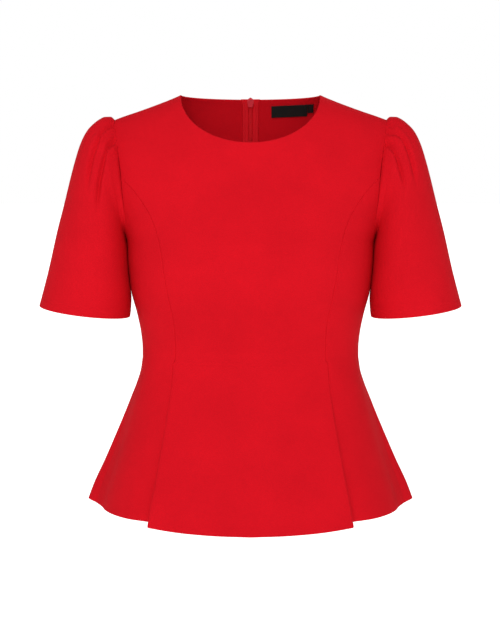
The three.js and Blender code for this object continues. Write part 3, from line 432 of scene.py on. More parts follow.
def sleeve_point(side, along, out, hand):
    """The sleeve by the place on the armhole seam where a thread starts, and how far out it has come."""
    seam = armholes[side].at(along)
    zero = np.zeros_like(along)
    top, middle = sleeve_ring(side, zero, zero)
    axis = top - middle
    up = ((seam - middle) * axis).sum(-1) / (axis**2).sum(-1)
    turn = np.arctan2(np.abs(seam[..., 1]) / SLEEVE["front" if side == FRONT else "back"][0], up)
    turn = np.select([along <= 0, along >= 1], [0, np.pi], turn)
    start, _ = sleeve_ring(side, turn, zero)
    ring, centre = sleeve_ring(side, turn, out)
    point = ring + (seam - start) * sleeve_at["armhole"](out)[..., None]
    signed = -side * np.degrees(turn)
    hollow = np.zeros_like(out)
    for round_at, drift, deep, wide, reach in zip(*GATHERS.values()):
        run = np.clip(out / reach, 0, 1)
        opened = (1 - np.exp(-out / GATHER_RISE)) * (1 - ease(run))
        off = (signed - round_at - drift * run) / wide
        hollow += deep * opened * np.exp(-off * off)
    for rounds, outs, deep, wide in CREASES[hand]:
        first, last = outs[0], outs[-1]
        off = (signed - curve_of(outs, rounds)(np.clip(out, first, last))) / wide
        faded = ease((out - last * CREASE_FADES) / (last * (1 - CREASE_FADES)))
        hollow += deep * ease((out - first) / CREASE_RISE) * (1 - faded) * np.exp(-off * off)
    fading = (1 - np.exp(-out / RUCHING_RISE)) * np.exp(-((out / RUCHING_REACH) ** 2))
    for round_at, deep in zip(RUCHING["at"], RUCHING["deep"]):
        off = (signed - round_at - 0.3 * np.sign(round_at) * out) / RUCHING_WIDE
        hollow += deep * fading * np.exp(-off * off)
    inward = centre - point
    inward /= np.linalg.norm(inward, axis=-1, keepdims=True)
    return pressed(point + inward * hollow[..., None], out)


def pressed(points, out):
    """The sleeve where it lies against the body's side: no nearer than just clear of it."""
    y, z = points[..., 1], points[..., 2]
    side = np.where(y < 0, FRONT, BACK)
    square, depth = (np.where(side == FRONT, at[FRONT](z), at[BACK](z)) for at in (square_at, depth_at))
    body = half_at(z) * np.maximum(0, 1 - (np.abs(y) / depth) ** square) ** (1 / square)
    short = body + SIDE_CLEAR - points[..., 0]
    soft = 0.8 * ease(out / 20) + 1e-6
    pushed = (short + np.sqrt(short * short + soft * soft)) / 2
    near = (z < UNDERARM_Z + 8) & (out > 0)
    moved = points.copy()
    moved[..., 0] += np.where(near, pushed * ease(out / 12), 0)
    return moved


# How far into a sheet its rows lie where the cloth rolls over at an edge
EDGE_STEPS = (0, 0.2, 0.45, 0.8, 1.25, 2.0, 3.2)
# The border of a net and the line beside it, at each of its four edges
SEAM_ENDS = {
    "start": (np.s_[:, 0], np.s_[:, 2]),
    "end": (np.s_[:, -1], np.s_[:, -3]),
    "bottom": (np.s_[0], np.s_[2]),
    "top": (np.s_[-1], np.s_[-3]),
}


def shares(length, step, start=True, end=True, extra=()):
    """Places along an edge of that length, as shares of it, close together where the cloth rolls over."""
    lead = list(EDGE_STEPS) if start else [0]
    tail = [length - s for s in reversed(EDGE_STEPS)] if end else [length]
    count = max(2, round((tail[0] - lead[-1]) / step))
    middle = list(np.linspace(lead[-1], tail[0], count + 1)[1:-1])
    middle = [m for m in middle if all(abs(m - e) > step * 0.3 for e in extra)] + list(extra)
    return np.array(lead + sorted(middle) + tail) / length


def lengths_along(points, axis):
    runs = np.linalg.norm(np.diff(points, axis=axis), axis=-1)
    pad = [(0, 0)] * runs.ndim
    pad[axis] = (1, 0)
    return np.cumsum(np.pad(runs, pad), axis=axis)


def normals_of(points, inside, closed):
    """Outward directions of a net of points. inside holds, for each, a point in the cloth's hollow."""
    work = np.concatenate([points[:, -2:], points, points[:, :2]], 1) if closed else points
    rows = lengths_along(work, 0)
    cols = lengths_along(work, 1)

    def slope(values, places, axis):
        values = np.moveaxis(values, axis, 0)
        places = np.moveaxis(places, axis, 0)[..., None]
        out = np.empty_like(values)
        before = places[1:-1] - places[:-2] + 1e-9
        after = places[2:] - places[1:-1] + 1e-9
        ahead = (values[2:] - values[1:-1]) / after
        behind = (values[1:-1] - values[:-2]) / before
        out[1:-1] = (ahead * before + behind * after) / (before + after)
        out[0] = values[1] - values[0]
        out[-1] = values[-1] - values[-2]
        return np.moveaxis(out, 0, axis)

    facing = np.cross(slope(work, cols, 1), slope(work, rows, 0))
    if closed:
        facing = facing[:, 2:-2]
    facing /= np.linalg.norm(facing, axis=-1, keepdims=True) + 1e-12
    outward = ((points - inside) * facing).sum()
    return facing if outward > 0 else -facing


def roll_off(distance, radius):
    """How far a turned edge of that radius has dropped away at a distance from it."""
    run = np.minimum(np.maximum(radius - distance, 0), radius)
    return radius - np.sqrt(np.maximum(0, radius * radius - run * run))


def build_sheet(name, points, inside, edges, cloth, closed=False, thick=None, doubled=0.0):
    """A closed cloth wall.

    edges says of its start, end, bottom and top that they are "turned", or gives the radius of their
    seam. doubled is how much thicker the cloth is along its top edge, where it is turned in.
    """
    thick = thick or cloth.thickness
    facing = normals_of(points, inside, closed)
    rows = lengths_along(points, 0)
    cols = lengths_along(points, 1)
    reach = {
        "start": cols,
        "end": cols[:, -1:] - cols,
        "bottom": rows,
        "top": rows[-1:] - rows,
    }
    drop_out = np.zeros(points.shape[:2])
    drop_in = np.zeros(points.shape[:2])
    depth = thick + doubled * (1 - ease((reach["top"] - 3) / 9))
    for edge, kind in edges.items():
        turned = kind == "turned"
        roll = 0 if turned else kind
        if edge in ("start", "end"):
            above_flutes = ease((points[..., 2] - WAIST_Z + 40) / 30)
            roll = roll * mix(0.2, 1, above_flutes)
        out_radius = depth * 0.49 if turned else roll
        in_radius = depth * 0.49 if turned else depth - roll - 0.05
        drop_out = np.maximum(drop_out, roll_off(reach[edge], out_radius))
        drop_in = np.maximum(drop_in, roll_off(reach[edge], in_radius))
    lapped = points.copy()
    lap = ARMHOLE_LAP if closed else SEAM_LAP
    for edge, kind in edges.items():
        if kind != "turned":
            border, beside = SEAM_ENDS[edge]
            away = points[border] - points[beside]
            lapped[border] += lap * away / (np.linalg.norm(away, axis=-1, keepdims=True) + 1e-9)
    outer = lapped - facing * drop_out[..., None]
    inner = lapped - facing * (depth - drop_in)[..., None]
    uv = np.stack([cols, rows], -1) * MM
    return sheet_object(name, outer, inner, uv, closed)


def sheet_object(name, outer, inner, uv, closed):
    """Joins an outer and an inner net of points round their edges into one mesh."""
    high, wide = outer.shape[:2]
    number = np.arange(high * wide).reshape(high, wide)
    if closed:
        number = np.concatenate([number, number[:, :1]], 1)
    lower = number + high * wide

    def quads(net):
        return np.stack([net[:-1, :-1], net[:-1, 1:], net[1:, 1:], net[1:, :-1]], -1).reshape(-1, 4)

    def rim(a, b):
        return np.stack([a[:-1], b[:-1], b[1:], a[1:]], -1)

    faces = [quads(number), quads(lower)[:, ::-1], rim(number[0], lower[0]), rim(lower[-1], number[-1])]
    if not closed:
        faces += [rim(lower[:, 0], number[:, 0]), rim(number[:, -1], lower[:, -1])]
    faces = np.concatenate(faces)
    points = np.concatenate([outer.reshape(-1, 3), inner.reshape(-1, 3)]) * MM
    a, b, c, d = (points[faces[:, i]] for i in range(4))
    volume = (np.cross(b, c) * a).sum() + (np.cross(c, d) * a).sum()
    if volume < 0:
        faces = faces[:, ::-1]
    mesh = bpy.data.meshes.new(name)
    mesh.from_pydata(points.tolist(), [], faces.tolist())
    loops = np.zeros(len(mesh.loops), np.int32)
    mesh.loops.foreach_get("vertex_index", loops)
    corner = np.concatenate([uv.reshape(-1, 2)] * 2)[loops]
    mesh.uv_layers.new(name="cut").data.foreach_set("uv", corner.ravel())
    mesh.polygons.foreach_set("use_smooth", np.ones(len(mesh.polygons), bool))
    mesh.update()
    piece = bpy.data.objects.new(name, mesh)
    bpy.context.scene.collection.objects.link(piece)
    return piece


def cut_of(points, closed=False):
    """Width, length and area of the flat cut that a net of points takes, in metres."""
    if closed:
        points = np.concatenate([points, points[:, :1]], 1)
    width = lengths_along(points, 1)[:, -1].max() * MM
    length = lengths_along(points, 0)[-1].max() * MM
    a = points[1:, 1:] - points[:-1, :-1]
    b = points[1:, :-1] - points[:-1, 1:]
    area = np.linalg.norm(np.cross(a, b), axis=-1).sum() / 2 * MM * MM
    return (width, length), min(area, width * length)


def mirror(points):
    return points * np.array([-1, 1, 1])


def back_normal(x, z):
    """Which way the upper back faces, outward."""
    across = torso_at(BACK, x + 0.5, z) - torso_at(BACK, np.maximum(0, x - 0.5), z)
    rising = torso_at(BACK, x, z + 0.5) - torso_at(BACK, x, z - 0.5)
    facing = np.cross(rising, across)
    return facing / np.linalg.norm(facing, axis=-1, keepdims=True)


def behind_zip(zip_sizes, xs, depth, above=0.0, step=3.2):
    """Rows up the zip, inside the back, at distances xs from its middle and a depth below the outside."""
    net = back_net(step)
    net = net[net[:, 0, 2] > -NECK_DROP[BACK] - zip_sizes.length]
    middle = net[:, 0]
    rising = np.gradient(middle[:, 1:], axis=0)
    rising /= np.linalg.norm(rising, axis=1, keepdims=True)
    rows = []
    for row, (lean, climb) in zip(net, rising):
        y, z = (np.interp(xs, row[:, 0], row[:, i]) for i in (1, 2))
        rows.append(vectors(xs, y - climb * depth, z + lean * depth))
    rows = np.array(rows)
    if above:
        top = rows[-1] + np.array([0, *rising[-1]]) * above
        rows = np.concatenate([rows[:-1], mix(rows[-1:], top[None], 0.6), top[None]])
    return rows


def new_material(name):
    material = bpy.data.materials.new(name)
    material.use_nodes = True
    nodes = material.node_tree.nodes
    nodes.clear()
    output = nodes.new("ShaderNodeOutputMaterial")
    shader = nodes.new("ShaderNodeBsdfPrincipled")
    material.node_tree.links.new(shader.outputs["BSDF"], output.inputs["Surface"])
    return material, shader


def add_node(tree, kind, sockets=None, **settings):
    """A shader node. Each of its sockets takes a value, or a link from another node's socket."""
    node = tree.nodes.new("ShaderNode" + kind)
    for name, value in settings.items():
        setattr(node, name, value)
    for name, value in (sockets or {}).items():
        if isinstance(value, bpy.types.NodeSocket):
            tree.links.new(value, node.inputs[name])
        else:
            node.inputs[name].default_value = value
    return node


def noise(tree, place, scale, detail=2.0, roughness=0.5):
    sockets = {"Vector": place, "Scale": scale, "Detail": detail, "Roughness": roughness}
    return add_node(tree, "TexNoise", sockets).outputs["Fac"]


def ramp(tree, value, low, high, stops=(0.3, 0.7)):
    """A colour between two, by a value."""
    node = add_node(tree, "ValToRGB", {"Fac": value})
    for element, stop, tone in zip(node.color_ramp.elements, stops, (low, high)):
        element.position = stop
        element.color = (*tone, 1)
    return node.outputs["Color"]


def bump(tree, height, distance, strength=1.0, **under):
    sockets = {"Strength": strength, "Distance": distance, "Height": height, **under}
    return add_node(tree, "Bump", sockets).outputs["Normal"]


def shade(tone, factor):
    return tuple(channel * factor for channel in tone)


def crepe(name, red):
    """Matt crepe: a fine pebbled grain and slightly uneven dye."""
    material, shader = new_material(name)
    tree = material.node_tree
    place = add_node(tree, "TexCoord").outputs["Object"]
    dye = ramp(tree, noise(tree, place, 18, 3), shade(red, 0.96), shade(red, 1.04))
    pebble = noise(tree, place, 1400, 2, 0.6)
    mottle = ramp(tree, pebble, (0.86, 0.86, 0.86), (1.06, 1.06, 1.06), (0.35, 0.65))
    sockets = {"Factor": 1, "A": dye, "B": mottle}
    tint = add_node(tree, "Mix", sockets, data_type="RGBA", blend_type="MULTIPLY")
    tree.links.new(tint.outputs["Result"], shader.inputs["Base Color"])
    grain = bump(tree, pebble, 0.0005, 0.5)
    slub = bump(tree, noise(tree, place, 160, 2), 0.0004, 0.4, Normal=grain)
    tree.links.new(slub, shader.inputs["Normal"])
    shader.inputs["Roughness"].default_value = 0.95
    shader.inputs["Specular IOR Level"].default_value = 0.06
    return material


def weave(name, yarn, thread, roughness, depth=0.00008):
    """A woven band: fine warp and weft by its own cut, with slightly uneven threads."""
    material, shader = new_material(name)
    tree = material.node_tree
    cut = add_node(tree, "UVMap", uv_map="cut").outputs["UV"]
    sockets = {"Vector": cut, "Scale": 2 * math.pi / (20 * thread), "Distortion": 0.4}
    threads = [add_node(tree, "TexWave", sockets, bands_direction=way) for way in ("X", "Y")]
    cross = add_node(tree, "Math", operation="MULTIPLY")
    for node, socket in zip(threads, cross.inputs):
        tree.links.new(node.outputs["Fac"], socket)
    crossed = cross.outputs["Value"]
    tone = ramp(tree, crossed, shade(yarn, 0.9), shade(yarn, 1.08), (0.0, 0.8))
    tree.links.new(tone, shader.inputs["Base Color"])
    tree.links.new(bump(tree, crossed, depth), shader.inputs["Normal"])
    shader.inputs["Roughness"].default_value = roughness
    shader.inputs["Specular IOR Level"].default_value = 0.15
    return material


def lacquer(name, paint, roughness, specular=0.4):
    """A smooth lacquered or moulded surface with faint wear."""
    material, shader = new_material(name)
    tree = material.node_tree
    worn = noise(tree, add_node(tree, "TexCoord").outputs["Object"], 900, 3)
    tone = ramp(tree, worn, shade(paint, 0.92), shade(paint, 1.05))
    tree.links.new(tone, shader.inputs["Base Color"])
    sockets = {"Value": worn, "To Min": roughness - 0.06, "To Max": roughness + 0.08}
    tree.links.new(add_node(tree, "MapRange", sockets).outputs["Result"], shader.inputs["Roughness"])
    tree.links.new(bump(tree, worn, 0.00003), shader.inputs["Normal"])
    shader.inputs["Specular IOR Level"].default_value = specular
    return material


def block(where, sizes, bevel=0.0, segments=2):
    """A box by its middle and sizes in millimetres, as the active object, with its edges rounded."""
    bpy.ops.object.select_all(action="DESELECT")
    bpy.ops.mesh.primitive_cube_add(size=1, location=[w * MM for w in where], scale=[s * MM for s in sizes])
    bpy.ops.object.transform_apply(location=True, rotation=True, scale=True)
    if bevel:
        round_edges(bpy.context.object, bevel, segments)
    return bpy.context.object


def rod(where, radius, length, axis, bevel=0.0, vertices=24):
    """A round bar along the x or z axis, in millimetres."""
    bpy.ops.object.select_all(action="DESELECT")
    turn = (0, math.pi / 2, 0) if axis == "x" else (0, 0, 0)
    place = [w * MM for w in where]
    bpy.ops.mesh.primitive_cylinder_add(
        vertices=vertices, radius=radius * MM, depth=length * MM, location=place, rotation=turn
    )
    bpy.ops.object.transform_apply(location=True, rotation=True, scale=True)
    if bevel:
        round_edges(bpy.context.object, bevel, 2)
    return bpy.context.object


def round_edges(piece, width, segments):
    rounding = piece.modifiers.new("rounding", "BEVEL")
    rounding.width = width * MM
    rounding.segments = segments
    rounding.angle_limit = math.radians(35)
    rounding.harden_normals = False
    bpy.context.view_layer.objects.active = piece
    bpy.ops.object.modifier_apply(modifier=rounding.name)


def edit(piece, chosen):
    """Goes into edit mode with the faces whose middle and normal pass the test selected."""
    bpy.ops.object.select_all(action="DESELECT")
    piece.select_set(True)
    bpy.context.view_layer.objects.active = piece
    bpy.ops.object.mode_set(mode="EDIT")
    bpy.ops.mesh.select_mode(type="FACE")
    bpy.ops.mesh.select_all(action="DESELECT")
    bpy.ops.object.mode_set(mode="OBJECT")
    for face in piece.data.polygons:
        face.select = chosen(face.center / MM, face.normal)
    bpy.ops.object.mode_set(mode="EDIT")


def join(name, pieces, placed=None):
    """One object of several, placed by a matrix, its smooth sides shaded smooth."""
    bpy.ops.object.select_all(action="DESELECT")
    for piece in pieces:
        piece.select_set(True)
    bpy.context.view_layer.objects.active = pieces[0]
    if len(pieces) > 1:
        bpy.ops.object.join()
    whole = pieces[0]
    if placed is not None:
        whole.data.transform(placed)
    bpy.ops.object.shade_smooth_by_angle(angle=math.radians(40))
    whole.name = name
    whole.data.name = name
    return whole


def placing(across, rising, out, at):
    """The matrix of a piece's own axes and its place in millimetres."""
    matrix = Matrix((across, rising, out)).transposed().to_4x4()
    matrix.translation = Vector(at) * MM
    return matrix


def turned_in():
    """Edges of a sheet that is turned in all round."""
    return {edge: "turned" for edge in SEAM_ENDS}


def panel_edges(cloth, top="turned"):
    """Edges of a panel of the body: seams at its sides and a turned hem."""
    return {"start": cloth.seam_roll, "end": cloth.seam_roll, "bottom": "turned", "top": top}


def finish_piece(piece, material, slot, *nodes, body="blouse"):
    piece.data.materials.clear()
    piece.data.materials.append(material)
    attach(piece, body)
    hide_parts(*nodes)


def state_cut(points, closed=False):
    """Measures a sheet's flat cut along its net of points, and keeps nothing of it."""
    flat, area = cut_of(points, closed)


def number(name, description, default, **more):
    return FloatProperty(name=name, description=description, default=default, **more)


def size(name, description, default):
    """A size in millimetres."""
    return number(name, description, default, min=0)


def colour(name, description, default):
    return FloatVectorProperty(
        name=name, description=description, default=default, subtype="COLOR", min=0, max=1
    )


class BlouseCloth(PropertyGroup):
    """The crepe and how it is sewn"""

    thickness: size("Cloth", "Thickness of the cloth wall, in millimetres", 1.6)
    seam_roll: size("Seam roll", "Radius of the cloth where it turns into a seam, in millimetres", 1.15)
    armhole_roll: size("Armhole roll", "Radius of the cloth at the armhole seam, in millimetres", 0.7)
    neck_turn: size("Neck turn", "How much thicker the cloth is along the neck, in millimetres", 0.9)
    net: size("Net", "Distance between the sheet's points, in millimetres", 3.2)
    red: colour("Red", "Dye of the crepe", (0.66, 0.0055, 0.0135))


class BlouseZip(PropertyGroup):
    """The concealed zip down the centre back, and the labels beside it"""

    length: size("Zip", "Length of the zip, in millimetres", 430)
    tape_width: size("Tape", "Width of each tape from the middle, in millimetres", 11)
    tape: size("Tape cloth", "Thickness of the tapes, in millimetres", 0.7)
    pitch: size("Pitch", "From tooth to tooth, in millimetres", 1.5)
    tape_red: colour("Tape red", "Dye of the tapes", (0.78, 0.008, 0.018))
    coil_red: colour("Coil red", "Colour of the nylon teeth", (0.8, 0.01, 0.02))
    metal_red: colour("Lacquer", "Lacquer of the slider and its pull", (0.74, 0.04, 0.06))
    label: size("Label", "Thickness of the labels, in millimetres", 0.8)
    label_black: colour("Label black", "Yarn of the labels", (0.011, 0.0125, 0.012))


class BlouseStage(PropertyGroup):
    """Camera, floor and light"""

    distance: number("Distance", "From the camera to the blouse", 2.5, unit="LENGTH")
    elevation: number("Elevation", "How far the camera looks down", math.radians(6.2), subtype="ANGLE")
    lens: number("Lens", "Focal length in millimetres", 101.9)
    floor_drop: number("Floor drop", "From the hem down to the floor", 0.9, unit="LENGTH")
    floor_tone: colour("Floor", "Pale floor", (0.93, 0.93, 0.93))
    sky: number("Room", "Brightness of the room round the blouse", 0.38)
    key: number("Key light", "Watts of the light up in front", 32)
    front: number("Front light", "Watts of the light by the camera", 18)
    side: number("Side lights", "Watts of the light at either side", 5)
    behind: number("Back light", "Watts of the light up behind", 22)


class PieceOperator:
    """What every piece's operator shares."""

    bl_options = {"REGISTER", "UNDO"}

    def cloth(self, context):
        settings = context.scene.blouse_cloth
        name = "red crepe"
        return settings, bpy.data.materials.get(name) or crepe(name, tuple(settings.red))

    def metal(self, sizes):
        name = "lacquered zinc"
        return bpy.data.materials.get(name) or lacquer(name, tuple(sizes.metal_red), 0.4, 0.15)


class BLOUSE_OT_stage(PieceOperator, Operator):
    """Sets up the camera, a plain pale floor and soft light"""

    bl_idname = "blouse.stage"
    bl_label = "Stage"

    def execute(self, context):
        stage = context.scene.blouse_stage
        middle = Vector(LOOK_AT)
        back = Vector((0, -math.cos(stage.elevation), math.sin(stage.elevation)))
        camera = bpy.data.objects.new("camera", bpy.data.cameras.new("camera"))
        context.scene.collection.objects.link(camera)
        camera.data.lens = stage.lens
        camera.data.sensor_width = 36
        camera.data.clip_end = 60
        camera.location = middle + back * stage.distance
        camera.rotation_euler = (-back).to_track_quat("-Z", "Y").to_euler()
        context.scene.camera = camera

        bpy.ops.object.select_all(action="DESELECT")
        floor_z = FRAME_BOX[0][2] - stage.floor_drop
        bpy.ops.mesh.primitive_circle_add(vertices=96, radius=30, fill_type="NGON", location=(0, 0, floor_z))
        floor = context.object
        floor.name = "floor"
        material, shader = new_material("pale floor")
        tree = material.node_tree
        place = add_node(tree, "TexCoord").outputs["Object"]
        tone = tuple(stage.floor_tone)
        paint = ramp(tree, noise(tree, place, 1.5, 3), shade(tone, 0.99), tone)
        tree.links.new(paint, shader.inputs["Base Color"])
        shader.inputs["Roughness"].default_value = 0.9
        # The floor runs up to paper white behind the blouse
        behind = add_node(tree, "SeparateXYZ", {"Vector": place}).outputs["Y"]
        sockets = {"Value": behind, "From Min": 1.2, "From Max": 2.3, "To Min": 0.22}
        reach = add_node(tree, "MapRange", sockets).outputs["Result"]
        tree.links.new(reach, shader.inputs["Emission Strength"])
        shader.inputs["Emission Color"].default_value = (1, 1, 1, 1)
        floor.data.materials.append(material)

        world = bpy.data.worlds.new("studio")
        world.use_nodes = True
        tree = world.node_tree
        direction = add_node(tree, "TexCoord").outputs["Generated"]
        behind = add_node(tree, "SeparateXYZ", {"Vector": direction}).outputs["Y"]
        paper = ramp(tree, behind, (stage.sky,) * 3, (1, 1, 1), (0.82, 0.95))
        tree.links.new(paper, tree.nodes["Background"].inputs["Color"])
        context.scene.world = world
        context.scene.view_settings.view_transform = "Standard"

        lights = {
            "key": ((-0.25, -2.3, 1.5), 1.4, stage.key),
            "front": ((0, -2.8, 0), 1.4, stage.front),
            "left side": ((-2.2, -0.5, -0.2), 1.2, stage.side),
            "right side": ((2.2, -0.5, -0.2), 1.2, stage.side),
            "behind": ((0.3, 2.8, 1.3), 1.4, stage.behind),
        }
        for name, (place, width, power) in lights.items():
            lamp = bpy.data.lights.new(name, "AREA")
            lamp.size = width
            lamp.energy = power
            light = bpy.data.objects.new(name, lamp)
            context.scene.collection.objects.link(light)
            light.location = place
            light.rotation_euler = (middle - light.location).to_track_quat("-Z", "Y").to_euler()
        return {"FINISHED"}


def centre_rows(step):
    """Rows of a centre panel, from the hem to the neck."""
    skirt = shares(CENTRE_LONG["skirt"], step, True, False)
    bodice = shares(CENTRE_LONG["bodice"], step, False, False)[1:]
    armhole = shares(CENTRE_LONG["armhole"], step * 0.9, False, False)[1:]
    shoulder = shares(CENTRE_LONG["shoulder"], step * 0.9, False, True)[1:]
    return np.concatenate([skirt, 1 + bodice, 2 + armhole, 3 + shoulder])


def side_rows(step):
    skirt = shares(SIDE_LONG["skirt"], step, True, False)
    bodice = shares(SIDE_LONG["bodice"], step, False, True)[1:]
    return np.concatenate([skirt, 1 + bodice])


def back_net(step):
    """The left half of the centre back. Its edge stands off at the top, round the zip's slider."""
    across, up = np.meshgrid(shares(BACK_WIDE, step), centre_rows(step))
    net = centre_panel(BACK, "back_centre")(across, up)
    below = -NECK_DROP[BACK] - net[..., 2]
    closing = np.clip((below - CLOSES_FROM) / CLOSES_IN, 0, 1)
    net[..., 0] += mix(EDGE_OFF, EDGE_CLOSED, closing) * np.exp(-lengths_along(net, 1) / 9)
    return net


class BLOUSE_OT_front_centre(PieceOperator, Operator):
    """Makes the centre front, from the round neck to the hem"""

    bl_idname = "blouse.front_centre"
    bl_label = "Centre front"

    def execute(self, context):
        cloth, red = self.cloth(context)
        columns = shares(FRONT_WIDE, cloth.net, start=False)
        across, up = np.meshgrid(columns, centre_rows(cloth.net))
        left = centre_panel(FRONT, "front_centre")(across, up)
        points = np.concatenate([mirror(left[:, :0:-1]), left], 1)
        axis = points * np.array([0, 0, 1])
        edges = panel_edges(cloth)
        piece = build_sheet("centre_front", points, axis, edges, cloth, doubled=cloth.neck_turn)
        finish_piece(piece, red, "cloth", "front_centre")
        state_cut(points)
        return {"FINISHED"}


class BLOUSE_OT_back_centre(PieceOperator, Operator):
    """Makes the two centre back pieces, whose edges meet over the zip"""

    bl_idname = "blouse.back_centre"
    bl_label = "Centre back"

    def execute(self, context):
        cloth, red = self.cloth(context)
        left = back_net(cloth.net)
        for name, points in (("left", left), ("right", mirror(left))):
            axis = points * np.array([0, 0, 1])
            edges = panel_edges(cloth)
            doubled = cloth.neck_turn / 4
            piece = build_sheet("centre_back_" + name, points, axis, edges, cloth, doubled=doubled)
            finish_piece(piece, red, "cloth", "back_centre_" + name)
            state_cut(points)
        return {"FINISHED"}


class BLOUSE_OT_side_panels(PieceOperator, Operator):
    """Makes the four side panels, between the long seams and the side seams"""

    bl_idname = "blouse.side_panels"
    bl_label = "Side panels"

    def execute(self, context):
        cloth, red = self.cloth(context)
        for side, node, name in ((FRONT, "front_side", "side_front_"), (BACK, "back_side", "side_back_")):
            across, up = np.meshgrid(shares(SIDE_WIDE, cloth.net), side_rows(cloth.net))
            left = side_panel(side, node, side == FRONT)(across, up)
            for hand, points in (("left", left), ("right", mirror(left))):
                axis = points * np.array([0, 0, 1])
                piece = build_sheet(name + hand, points, axis, panel_edges(cloth, cloth.armhole_roll), cloth)
                finish_piece(piece, red, "cloth", node + "_" + hand)
                state_cut(points)
        return {"FINISHED"}


class BLOUSE_OT_sleeves(PieceOperator, Operator):
    """Makes the two short sleeves, gathered into the armholes"""

    bl_idname = "blouse.sleeves"
    bl_label = "Sleeves"

    def execute(self, context):
        cloth, red = self.cloth(context)
        length = SLEEVE["out"][-1]
        # From, to and step of its rows: close where it is gathered and at the stitch line above the hem
        stretches = (
            (4.2, 60, 1.7),
            (60, length - 18, 3.2),
            (length - 18, length - 13, 1.2),
            (length - 13, length - 9.1, 0.45),
            (length - 9, length - 3.6, 1.1),
        )
        rows = [np.arange(*stretch) for stretch in stretches]
        outs = np.concatenate([EDGE_STEPS, *rows, [length - s for s in reversed(EDGE_STEPS)]])
        columns = np.concatenate([np.linspace(0, 0.48, 84), np.linspace(0.48, 1, 47)[1:]])
        along, out = np.meshgrid(columns, outs)
        for hand in ("left", "right"):
            front, back = (sleeve_point(side, along, out, hand) for side in (FRONT, BACK))
            points = np.concatenate([front, back[:, -2:0:-1]], 1)
            middles = sleeve_ring(FRONT, np.full(len(outs), np.pi / 2), outs)[1]
            centre = middles[:, None] + np.zeros_like(points)
            run = lengths_along(points, 0)
            from_stitches = run[-1:] - run - HEM_STITCH_UP
            facing = normals_of(points, centre, True)
            points = points - facing * (0.3 * np.exp(-(from_stitches / 0.8) ** 2))[..., None]
            if hand == "right":
                points, centre = mirror(points), mirror(centre)
            edges = {"bottom": cloth.armhole_roll, "top": "turned"}
            piece = build_sheet("sleeve_cloth_" + hand, points, centre, edges, cloth, True)
            finish_piece(piece, red, "cloth", "sleeve_" + hand)
            state_cut(points, closed=True)
        return {"FINISHED"}


class BLOUSE_OT_zip_tapes(PieceOperator, Operator):
    """Makes the zip's two woven tapes, sewn inside the back's edges"""

    bl_idname = "blouse.zip_tapes"
    bl_label = "Zip tapes"

    def execute(self, context):
        cloth, sizes = context.scene.blouse_cloth, context.scene.blouse_zip
        material = weave("woven zip tape", tuple(sizes.tape_red), 0.0006, 0.85)
        wide = sizes.tape_width
        xs = np.array([
            1.3, 1.4, 1.7, 2.2, 2.7, 3.0, 3.2, 3.4, 3.6, 3.9, 4.4, 5, 5.8, 6.6, 7.2, 7.5, 7.7, 7.9, 8.2,
            8.8, 9.4, wide - 1.2, wide - 0.9, wide - 0.6, wide - 0.35, wide - 0.15, wide,
        ])
        left = behind_zip(sizes, xs, cloth.thickness + BESIDE_TEETH, 1.6, 2.4)
        below = left[-1:, :, 2] - left[..., 2]
        raised = ease((xs - 2.9) / 0.9) * (1 - ease((xs - wide + 1.1) / 1.1))
        stitched = 0.3 * np.exp(-(((xs - TAPE_STITCH_IN) / 0.35) ** 2))
        left[..., 1] -= 1.3 * raised * (1 - 0.5 * np.exp(-((below / 5) ** 2))) - stitched
        left[..., 0] += 2.0 * (xs / wide) ** 2 * np.exp(-((below / 6) ** 2))
        left[..., 0] -= 1.0 * ease((below - 10) / 8) * np.clip((3 - xs) / 1.7, 0, 1)
        for hand in ("left", "right"):
            points = left if hand == "left" else mirror(left)
            inside = points * np.array([1, 0, 1])
            piece = build_sheet("tape_" + hand, points, inside, turned_in(), cloth, thick=sizes.tape)
            finish_piece(piece, material, "zip_tape", "zip_tape_" + hand)
            state_cut(points)
        return {"FINISHED"}


class BLOUSE_OT_zip_teeth(PieceOperator, Operator):
    """Makes the zip's closed row of nylon teeth and the stop at its foot"""

    bl_idname = "blouse.zip_teeth"
    bl_label = "Zip teeth"

    def execute(self, context):
        cloth, sizes = context.scene.blouse_cloth, context.scene.blouse_zip
        depth = cloth.thickness + sizes.tape + 1.8
        line = behind_zip(sizes, np.array([0.0, 1.0]), depth)[:, 0]
        line = line[line[:, 2] < SLIDER_Z - 5.2]
        runs = lengths_along(line, 0)
        first = rod((0.95, 0, 0), 0.4, 2.6, "x", 0.12, 8)
        teeth = []
        for i, run in enumerate(np.arange(3, runs[-1], sizes.pitch / 2)):
            at, ahead = (
                np.array([np.interp(place, runs, line[:, axis]) for axis in range(3)])
                for place in (run, run + 1.0)
            )
            rising = Vector(ahead - at).normalized()
            across = Vector((1 if i % 2 else -1, 0, 0))
            tooth = first.copy()
            tooth.data = first.data.copy()
            tooth.data.transform(placing(across, rising, across.cross(rising), at))
            context.scene.collection.objects.link(tooth)
            teeth.append(tooth)
        bpy.data.objects.remove(first)
        rising = Vector(line[2] - line[0]).normalized()
        across = Vector((1, 0, 0))
        stop = block((0, 0, 0), (5, 4.4, 2), 0.5)
        stop.data.transform(placing(across, rising, across.cross(rising), line[0]))
        piece = join("teeth", teeth + [stop])
        finish_piece(piece, lacquer("nylon", tuple(sizes.coil_red), 0.5, 0.12), "zip_coil", "zip_coil")
        return {"FINISHED"}


